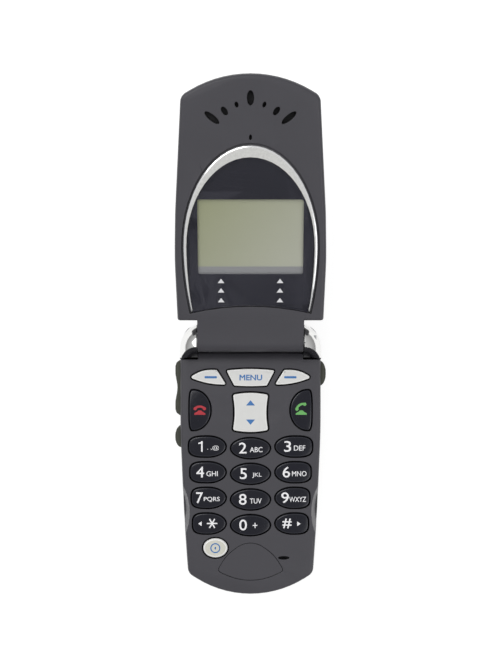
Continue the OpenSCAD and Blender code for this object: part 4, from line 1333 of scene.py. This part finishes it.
@dataclass
class Keypad(Maker):
    """The face's keys and their legends.

    Attributes:
        dark_edge: Rounding of the dark keys' rims.
        silver_edge: Rounding of the silver keys' rims.
        power_edge: Rounding of the power key's rim.
        digit: Height of a digit.
        letter: Height of a letter.
        grid: Size of the squares that a legend is cut into, to follow the key.
    """

    body: str = "base"
    grid: float = 1.1
    dark_edge: float = 0.28
    silver_edge: float = 0.36
    power_edge: float = 0.55
    digit: float = 3.3
    letter: float = 1.55

    def number_keys(self) -> list[NumberKey]:
        """List the number keys.

        Returns:
            The twelve keys with their legends.
        """
        # node, digit, its middle and width, letters, their middle and width
        rows = [("key_1", "1", -15.5, 1.5, ". ,@", -11.6, 3.6),
                ("key_2", "2", -2.4, 2.3, "ABC", 1.75, 3.9),
                ("key_3", "3", 11.5, 2.1, "DEF", 15.2, 3.5),
                ("key_4", "4", -15.6, 2.4, "GHI", -11.9, 3.5),
                ("key_5", "5", -2.2, 2.1, "JKL", 2.0, 2.9),
                ("key_6", "6", 11.1, 2.2, "MNO", 15.1, 4.5),
                ("key_7", "7", -15.8, 2.1, "PQRS", -12.0, 4.9),
                ("key_8", "8", -2.4, 2.3, "TUV", 1.6, 3.6),
                ("key_9", "9", 10.7, 2.3, "WXYZ", 14.6, 5.2),
                ("key_0", "0", -2.3, 2.3, "+", 1.4, 1.4)]
        keys = [NumberKey(node, (figure_one(x, 0.1) if digit == "1"
                                 else Lettering(digit, x, 0.1, self.digit, wide, 0.03),
                                 Lettering(letters, lx, 0.0 if letters == "+" else -0.4,
                                           self.letter, lw, 0.0 if "@" in letters else 0.015)))
                for node, digit, x, wide, letters, lx, lw in rows]
        keys.append(NumberKey("key_star", (star(-11.9, 0.1),),
                              (Triangle(-15.5, 0, 1.45, 1.1, 180),)))
        keys.append(NumberKey("key_hash", (Lettering("#", 11.3, 0.1, 2.9, 2.7, 0.06),),
                              (Triangle(14.8, 0, 1.45, 1.1, 0),)))
        return keys

    def print_marks(self, node: str, bm: bmesh.types.BMesh, look: Look,
                    target: bpy.types.Object, slot: str) -> None:
        """Print one key's legend on it as a thin closed film.

        Args:
            node: The key's CAD node.
            bm: Flat mesh at Z 0, at its place in X and Y.
            look: Finish of the ink.
            target: The key that it is printed on.
            slot: The record's material slot.
        """
        bmesh.ops.recalc_face_normals(bm, faces=bm.faces)
        gridded(bm, self.grid)
        solid_plate(bm, INK)
        drape(bm, target, INK_LIFT)
        self.piece(f"{node}_legend", bm, [look], slot, body=self.cap_body(node))

    @staticmethod
    def cap_body(node: str) -> str:
        """Return the body that a key's cap belongs to."""
        return "rocker" if node == "nav_rocker" else f"{node}_cap"

    def dark_key(self, node: str) -> bpy.types.Object:
        """Make a glossy dark key, its rim painted lighter as a highlight."""
        return self.capped(node, Cap(34, self.dark_edge), [Look.KEY, Look.KEY_HIGHLIGHT, Look.CORE_AND_SHADE],
                           "dark_key", self.cap_body(node))

    def silver_key(self, node: str, cap: Cap, look: Look = Look.PEARL) -> bpy.types.Object:
        """Make a pearl key, its rim painted pale as a highlight."""
        return self.capped(node, cap, [look, Look.PEARL_HIGHLIGHT, Look.CORE_AND_SHADE], "silver_key",
                           self.cap_body(node))

    def build_number_keys(self) -> None:
        """Make the twelve number keys and print their legends."""
        for key in self.number_keys():
            cap = self.dark_key(key.node)
            middle = top_of(key.node).y / MM
            bm = bmesh.new()
            for mark in key.marks:
                join(bm, mark.build(middle))
            for arrow in key.arrows:
                Triangle(arrow.x, middle, arrow.base, arrow.height, arrow.turn).add_to(bm)
            self.print_marks(key.node, bm, Look.WHITE_INK, cap, "dark_key")

    def build_silver_keys(self) -> None:
        """Make the softkeys, menu key, rocker and power key and print their legends."""
        inset, length, height, corner = 0.75, 3.8, 0.68, 0.2
        for side in ("left", "right"):
            node = f"softkey_{side}"
            cap = self.silver_key(node, Cap(90, self.silver_edge))
            top = top_of(node) / MM
            bm = bmesh.new()
            inwards = -1 if side == "right" else 1
            polygon(bm, self.dash(top.x + inset * inwards, top.y, length, height), corner)
            self.print_marks(node, bm, Look.BLUE_INK, cap, "silver_key")
        cap = self.silver_key("menu_key", Cap(90, self.silver_edge))
        menu = Lettering("MENU", x=0.1, rise=0.0, height=1.65, width=6.9, weight=0.07)
        self.print_marks("menu_key", menu.build(top_of("menu_key").y / MM), Look.BLUE_INK, cap,
                         "silver_key")
        rocker = self.silver_key("nav_rocker", Cap(60, self.silver_edge, drum=True))
        bm = bmesh.new()
        middle = top_of("nav_rocker").y / MM
        for way in (1, -1):
            Triangle(x=0, y=middle + way * 2.72, base=2.75, height=1.65,
                     turn=90 * way).add_to(bm)
        self.print_marks("nav_rocker", bm, Look.BLUE_INK, rocker, "silver_key")
        self.build_power_key()

    def build_power_key(self) -> None:
        """Make the oval power key with its ring and dot."""
        cap = self.silver_key("power_key", Cap(34, self.power_edge), Look.BEIGE)
        top = top_of("power_key") / MM
        outside, inside, middle, narrow = 1.55, 1.2, 0.42, 0.62
        bm = bmesh.new()
        ring = bmesh.ops.create_circle(bm, segments=40, radius=outside * MM)
        inner = bmesh.ops.create_circle(bm, segments=40, radius=inside * MM)
        edges = {e for v in ring["verts"] + inner["verts"] for e in v.link_edges}
        bmesh.ops.bridge_loops(bm, edges=list(edges))
        dot = bmesh.ops.create_circle(bm, cap_ends=True, segments=16, radius=middle * MM)
        bmesh.ops.scale(bm, vec=(narrow, 1, 1), verts=dot["verts"])
        bmesh.ops.translate(bm, vec=(top.x * MM, top.y * MM, 0), verts=bm.verts)
        self.print_marks("power_key", bm, Look.BLUE_INK, cap, "silver_key")

    @staticmethod
    def dash(x: float, y: float, length: float, height: float) -> list[tuple[float, float]]:
        """Return the corners of a dash about a point."""
        a, b = length / 2, height / 2
        return [(x - a, y - b), (x + a, y - b), (x + a, y + b), (x - a, y + b)]

    def build_call_keys(self) -> None:
        """Make the end and send keys with a telephone on each."""
        aside, rise = 0.05, 0.2
        for node, look, lifted in (("end_key", Look.RED_INK, False),
                                   ("send_key", Look.GREEN_INK, True)):
            cap = self.dark_key(node)
            top = top_of(node) / MM
            side = math.copysign(1, top.x)
            bm = self.telephone(lifted)
            bmesh.ops.translate(bm, vec=((top.x + aside * side) * MM, (top.y + rise) * MM, 0),
                                verts=bm.verts)
            self.print_marks(node, bm, look, cap, "dark_key")

    @staticmethod
    def telephone(lifted: bool) -> bmesh.types.BMesh:
        """Make a flat picture of a telephone.

        Args:
            lifted: Whether its handset is tilted off the cradle.

        Returns:
            The picture about the origin.
        """
        bm = bmesh.new()
        radius, half_bar, reach, bow_drop = 2.1, 0.34, 44.0, 0.72
        knob, knob_x, knob_y, knob_over = 0.52, 1.42, -0.05, 0.002
        tilt, shift = (32, (-0.15, 0.95)) if lifted else (0, (0, 0.35))
        start = Vector((0, (radius + half_bar) * MM, 0))
        bar = [bm.verts.new(start), bm.verts.new(start - Vector((0, 2 * half_bar * MM, 0)))]
        edge = bm.edges.new(bar)
        bmesh.ops.rotate(bm, cent=(0, 0, 0), verts=bar,
                         matrix=Matrix.Rotation(math.radians(reach), 3, "Z"))
        bmesh.ops.spin(bm, geom=[*bar, edge], cent=(0, 0, 0), axis=(0, 0, -1), steps=14,
                       angle=math.radians(2 * reach))
        bmesh.ops.translate(bm, vec=(0, -radius * bow_drop * MM, 0), verts=bm.verts)
        for side in (-1, 1):
            made = bmesh.ops.create_circle(bm, cap_ends=True, segments=20, radius=knob * MM)
            bmesh.ops.translate(bm, vec=(side * knob_x * MM, knob_y * MM, knob_over * MM),
                                verts=made["verts"])
        if tilt:
            bmesh.ops.rotate(bm, cent=(0, 0, 0), verts=bm.verts,
                             matrix=Matrix.Rotation(math.radians(tilt), 3, "Z"))
        bmesh.ops.translate(bm, vec=(shift[0] * MM, shift[1] * MM, 0), verts=bm.verts)
        body = [(-1.75, -1.6), (1.75, -1.6), (1.7, -1.15), (0.75, -0.6), (0.45, -0.25),
                (-0.45, -0.25), (-0.75, -0.6), (-1.7, -1.15)]
        polygon(bm, body, 0.08)
        return bm

    def build(self) -> None:
        """Make every key of the face."""
        self.build_number_keys()
        self.build_silver_keys()
        self.build_call_keys()


@dataclass
class Flanks(Maker):
    """Rubber keys on the base's flanks, and the battery door and latch on its back.

    Attributes:
        key_edge: Rounding of the rubber keys' edges.
        door_edge: Rounding of the door's edges.
        latch_edge: Rounding of the latch's edges.
    """

    body: str = "base"
    key_edge: float = 0.3
    door_edge: float = 0.15
    latch_edge: float = 0.1

    def build(self) -> None:
        """Make the side keys, the door and the latch."""
        for node, body in (("volume_rocker", "volume"), ("smart_key", "smart"),
                           ("voice_key", "voice")):
            self.dressed(node, [Look.RUBBER], "side_key", self.key_edge, body=body)
        self.dressed("battery_door", [Look.DOOR], "charcoal_door", self.door_edge,
                     body="door")
        self.dressed("battery_latch", [Look.DOOR], "charcoal_door", self.latch_edge,
                     body="latch")


@dataclass
class Workings(Maker):
    """Inner pieces, which stay as the solids are and get their finish.

    Attributes:
        looks: The nodes that take each finish.
    """

    body: str = "base"
    looks: dict[Look, tuple[str, ...]] = field(default_factory=lambda: {
        Look.BOARD: ("main_board", "lid_board"),
        Look.TIN: ("shield_cans", "dome_sheet", "display_frame", "vibration_motor", "lid_magnet"),
        Look.STEEL: ("housing_screws", "hinge_shaft", "pivot_bush", "hinge_capsule"),
        Look.FLEX: ("battery_contacts", "internal_antenna", "flex_tail", "hinge_flex"),
        Look.SILICONE: ("keypad_mat",),
        Look.WRAP: ("battery",),
        Look.MOULDING: ("microphone", "headset_jack", "accessory_connector", "side_switches",
                        "earpiece"),
        Look.CLOTH: ("earpiece_mesh",),
    })

    def build(self) -> None:
        """Finish every inner piece."""
        for look, nodes in self.looks.items():
            for node in nodes:
                self.finish_node(node, look)


# ------------------------------------------------------------------ the lid

@dataclass
class Lid(Maker):
    """Covers of the lid, and the smoked window on its outside.

    Attributes:
        cover_edge: Rounding of the covers' edges.
        lens_edge: Rounding of the outer window's edge.
        deep: Faces that look up from further below the inner face are painted dark as shade.
        wall_reach: Walls that face another wall within this distance are in an opening, and are
            painted dark as shade.
    """

    body: str = "lid"
    cover_edge: float = 0.16
    lens_edge: float = 0.3
    deep: float = 1.2
    wall_reach: float = 60.0

    def build(self) -> None:
        """Make the covers and the outer window."""
        up = LID.to_3x3() @ Vector((0, 0, 1))
        back = LID.inverted()
        inner = max((back @ v.co).z for v in frame["nodes"]["lid_inner_cover"].data.vertices)

        def mark(bm: bmesh.types.BMesh) -> None:
            """Paint shade into the openings."""
            paint_hollow_shade(bm, up, self.wall_reach, lambda at: (back @ at).z < inner - self.deep * MM)

        self.dressed("lid_inner_cover", [Look.SHELL, Look.CORE_AND_SHADE], "charcoal_shell",
                     self.cover_edge, mark=mark)
        # the outer cover takes the charcoal painted lighter for the light on its flanks
        self.dressed("lid_outer_cover", [Look.LIT_FLANK], "charcoal_shell", self.cover_edge)
        self.dressed("outer_lens", [Look.OUTER_WINDOW], "outer_window", self.lens_edge)
        self.finish_node("outer_display", Look.MOULDING)


@dataclass
class Window(Maker):
    """Silver arch, clear window, the print under it, and the display.

    Attributes:
        line: Width of the dark line round the arch.
        foot: End of the display's painted shadow band, along the lid from the hinge.
        bevel: Width of the bevel along its outer edge, painted bright as a highlight.
        arrow_x: Distance of the two columns of arrows from the middle line.
        arrow_us: Where the arrows lie along the lid, from the hinge.
        lens_edge: Rounding of the window's edge.
        mask_edge: Rounding of the print's edge.
        run_inset: How far inside the display's side its run of tone begins.
    """

    body: str = "lid"
    line: float = 0.25
    foot: float = 22.9
    bevel: float = 0.5
    arrow_x: float = 8.82
    arrow_us: tuple[float, ...] = (19.2, 16.3, 13.3)
    lens_edge: float = 0.12
    mask_edge: float = 0.02
    run_inset: float = 4.0

    def build(self) -> None:
        """Make the window's pieces."""
        self.build_ring()
        self.dressed("display_lens", [Look.WINDOW], "window_lens", self.lens_edge)
        self.dressed("lens_mask", [Look.MASK], "lens_mask", self.mask_edge)
        self.build_display()
        self.build_arrows()

    def build_display(self) -> None:
        """Finish the display, with its tone running towards the right of the hinge end."""
        low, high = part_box("display_module")
        # where the display's painted shadow band stops
        foot = (LID @ Vector((0, self.foot * MM, 0))).y / MM
        panel = PanelFinish("display_panel", "b6ba92", roughness=0.4, mottle=0.0,
                            far_tone="d8dacb", foot=foot,
                            start=(low.x / MM + self.run_inset, high.y / MM),
                            run=((high.x - low.x) / MM, (low.y - high.y) / MM))
        self.finish_node("display_module", panel)

    def build_ring(self) -> None:
        """Make the silver arch, a little narrower than its seat: a dark line stays round it."""
        bm = merged_copy("lens_ring")
        bmesh.ops.triangulate(bm, faces=bm.faces)
        bmesh.ops.transform(bm, matrix=LID.inverted(), verts=bm.verts)
        centre = Vector((0, sum(v.co.y for v in bm.verts) / len(bm.verts), 0))
        shifts = []
        for vert in bm.verts:
            out = Vector((0, 0, 0))
            for face in vert.link_faces:
                side = Vector((face.normal.x, face.normal.y, 0))
                if side.length > 0.3 and side.dot(face.calc_center_median() - centre) > 0:
                    out += side.normalized()
            if out.length > 0.1:
                shifts.append((vert, out.normalized() * -self.line * MM))
        for vert, shift in shifts:
            vert.co += shift
        crest = max(v.co.z for v in bm.verts)
        rim = [e for e in bm.edges if len(e.link_faces) == 2
               and all(abs(v.co.z - crest) < 1e-6 for v in e.verts)
               and any(f.normal.z < 0.5 and f.normal.dot(f.calc_center_median() - centre) > 0
                       for f in e.link_faces)]
        # the outer rim's bevel takes the painted highlight finish
        made = bmesh.ops.bevel(bm, geom=rim, offset=self.bevel * MM, offset_type="OFFSET",
                               affect="EDGES", segments=2, profile=0.5, material=1)
        for face in made["faces"]:
            face.material_index = 1
        bmesh.ops.transform(bm, matrix=LID, verts=bm.verts)
        ring = self.piece("lens_ring_shape", bm, [Look.SILVER, Look.SILVER_HIGHLIGHT], "silver_trim")
        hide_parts("lens_ring")

    def build_arrows(self) -> None:
        """Print the two columns of arrows on the window."""
        bm = bmesh.new()
        for side in (-1, 1):
            for u in self.arrow_us:
                Triangle(side * self.arrow_x, u, base=2.0, height=1.35).add_to(bm)
        bmesh.ops.recalc_face_normals(bm, faces=bm.faces)
        solid_plate(bm, INK)
        low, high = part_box("display_lens")
        corner = LID.inverted() @ Vector((0, high.y, high.z))
        place = LID @ Matrix.Translation((0, 0, corner.z + INK_LIFT * MM))
        bmesh.ops.transform(bm, matrix=place, verts=bm.verts)
        self.piece("window_arrows", bm, [Look.WHITE_INK], "window_lens")


# ------------------------------------------------------------------ studio

@dataclass
class Studio:
    """Floor, lamps and camera.

    Attributes:
        eye_height: Height of the camera above the keypad face.
        face_height: Height of the keypad face above the table.
        view_height: Height of the picture, measured at the keypad face.
        aim: Where the camera looks, in X and Y.
        sensor: Width of the camera's sensor.
        table_size: Half the length of the table's side, in metres.
        table_grey: Brightness of the table.
        table_glow: How much brighter it is to the eye.
    """

    eye_height: float = 350.0
    face_height: float = 16.3
    view_height: float = 207.7
    aim: tuple[float, float] = (0.15, 38.45)
    sensor: float = 36.0
    table_size: float = 3.0
    table_grey: float = 0.45
    table_glow: float = 0.78

    def build(self) -> None:
        """Set up the whole studio."""
        self.floor()
        self.world()
        self.lamp("key_lamp", (-0.32, 0.34, 0.62), 0.45, 1.7)
        self.lamp("fill_lamp", (0.42, -0.22, 0.55), 0.4, 0.8)
        self.camera()
        bpy.context.scene.view_settings.view_transform = "Standard"

    def floor(self) -> None:
        """Make the white table."""
        bm = bmesh.new()
        bmesh.ops.create_grid(bm, x_segments=1, y_segments=1, size=self.table_size)
        graph = Graph("white_table")
        grey = self.table_grey
        graph.shader.inputs["Base Color"].default_value = (grey, grey, grey, 1)
        graph.shader.inputs["Roughness"].default_value = 0.9
        graph.shader.inputs["Specular IOR Level"].default_value = 0.0
        glow = graph.add("ShaderNodeEmission", Color=WHITE)
        both = graph.add("ShaderNodeAddShader")
        share = graph.add("ShaderNodeMath", {"operation": "MULTIPLY"})
        share.inputs[1].default_value = self.table_glow
        graph.wire(self.seen_ray(graph), "Value", share, 0)
        graph.wire(share, "Value", glow, "Strength")
        graph.wire(graph.shader, "BSDF", both, 0)
        graph.wire(glow, "Emission", both, 1)
        graph.wire(both, "Shader", graph.output, "Surface")
        mesh = used_up(bm, "floor")
        mesh.materials.append(graph.material)
        floor = linked("floor", mesh)

    @staticmethod
    def seen_ray(graph: Graph) -> bpy.types.Node:
        """Add a value that is 1 where the eye, a mirror or a glass looks at the surface.

        Args:
            graph: The surface's graph.

        Returns:
            The node with the value.
        """
        path = graph.add("ShaderNodeLightPath")
        source, out = path, "Is Camera Ray"
        for ray in ("Is Glossy Ray", "Is Transmission Ray"):
            larger = graph.add("ShaderNodeMath", {"operation": "MAXIMUM"})
            graph.wire(source, out, larger, 0)
            graph.wire(path, ray, larger, 1)
            source, out = larger, "Value"
        return source

    def world(self) -> None:
        """Light the room softly from above, darker towards the horizon, white to the eye."""
        world = bpy.data.worlds.new("studio")
        bpy.context.scene.world = world
        world.use_nodes = True
        graph = Nodes(world.node_tree)
        coords = graph.add("ShaderNodeTexCoord")
        split = graph.add("ShaderNodeSeparateXYZ")
        height = graph.add("ShaderNodeMapRange", From_Min=-0.1, From_Max=0.8, To_Min=0.32,
                           To_Max=0.78)
        light = graph.add("ShaderNodeBackground")
        white = graph.add("ShaderNodeBackground", Color=WHITE, Strength=1.0)
        path = graph.add("ShaderNodeLightPath")
        choose = graph.add("ShaderNodeMixShader")
        output = graph.add("ShaderNodeOutputWorld")
        graph.wire(coords, "Generated", split, "Vector")
        graph.wire(split, "Z", height, "Value")
        graph.wire(height, "Result", light, "Strength")
        graph.wire(path, "Is Camera Ray", choose, 0)
        graph.wire(light, "Background", choose, 1)
        graph.wire(white, "Background", choose, 2)
        graph.wire(choose, "Shader", output, "Surface")

    @staticmethod
    def lamp(name: str, place: tuple[float, float, float], size: float, power: float) -> None:
        """Hang a square soft lamp that shines at the hinge.

        Args:
            name: Name of the lamp.
            place: Where it hangs, in metres.
            size: Length of its side, in metres.
            power: In watts.
        """
        data = bpy.data.lights.new(name, "AREA")
        data.shape = "SQUARE"
        data.size = size
        data.energy = power
        lamp = linked(name, data)
        lamp.location = place
        to_hinge = Vector((0, 0.037, 0)) - Vector(place)
        lamp.rotation_mode = "QUATERNION"
        lamp.rotation_quaternion = to_hinge.to_track_quat("-Z", "Y")

    def camera(self) -> None:
        """Hang the camera straight over the phone."""
        data = bpy.data.cameras.new("eye")
        data.sensor_width = self.sensor
        data.lens = self.sensor * self.eye_height / self.view_height
        data.clip_start, data.clip_end = 0.01, 10
        eye = linked("eye", data)
        eye.location = (self.aim[0] * MM, self.aim[1] * MM,
                        (self.face_height + self.eye_height) * MM)
        bpy.context.scene.camera = eye


def main() -> None:
    """Build the studio and the phone's pieces, and say what was made."""
    logging.basicConfig(level=logging.INFO, format="%(name)s: %(message)s")
    Studio().build()
    for assembly in (Base(), Keypad(), Flanks(), Workings(), Lid(), Window()):
        assembly.build()
        for name in assembly.made:
            LOG.info("%s: %s", type(assembly).__name__, name)


if __name__ == "__main__":
    main()
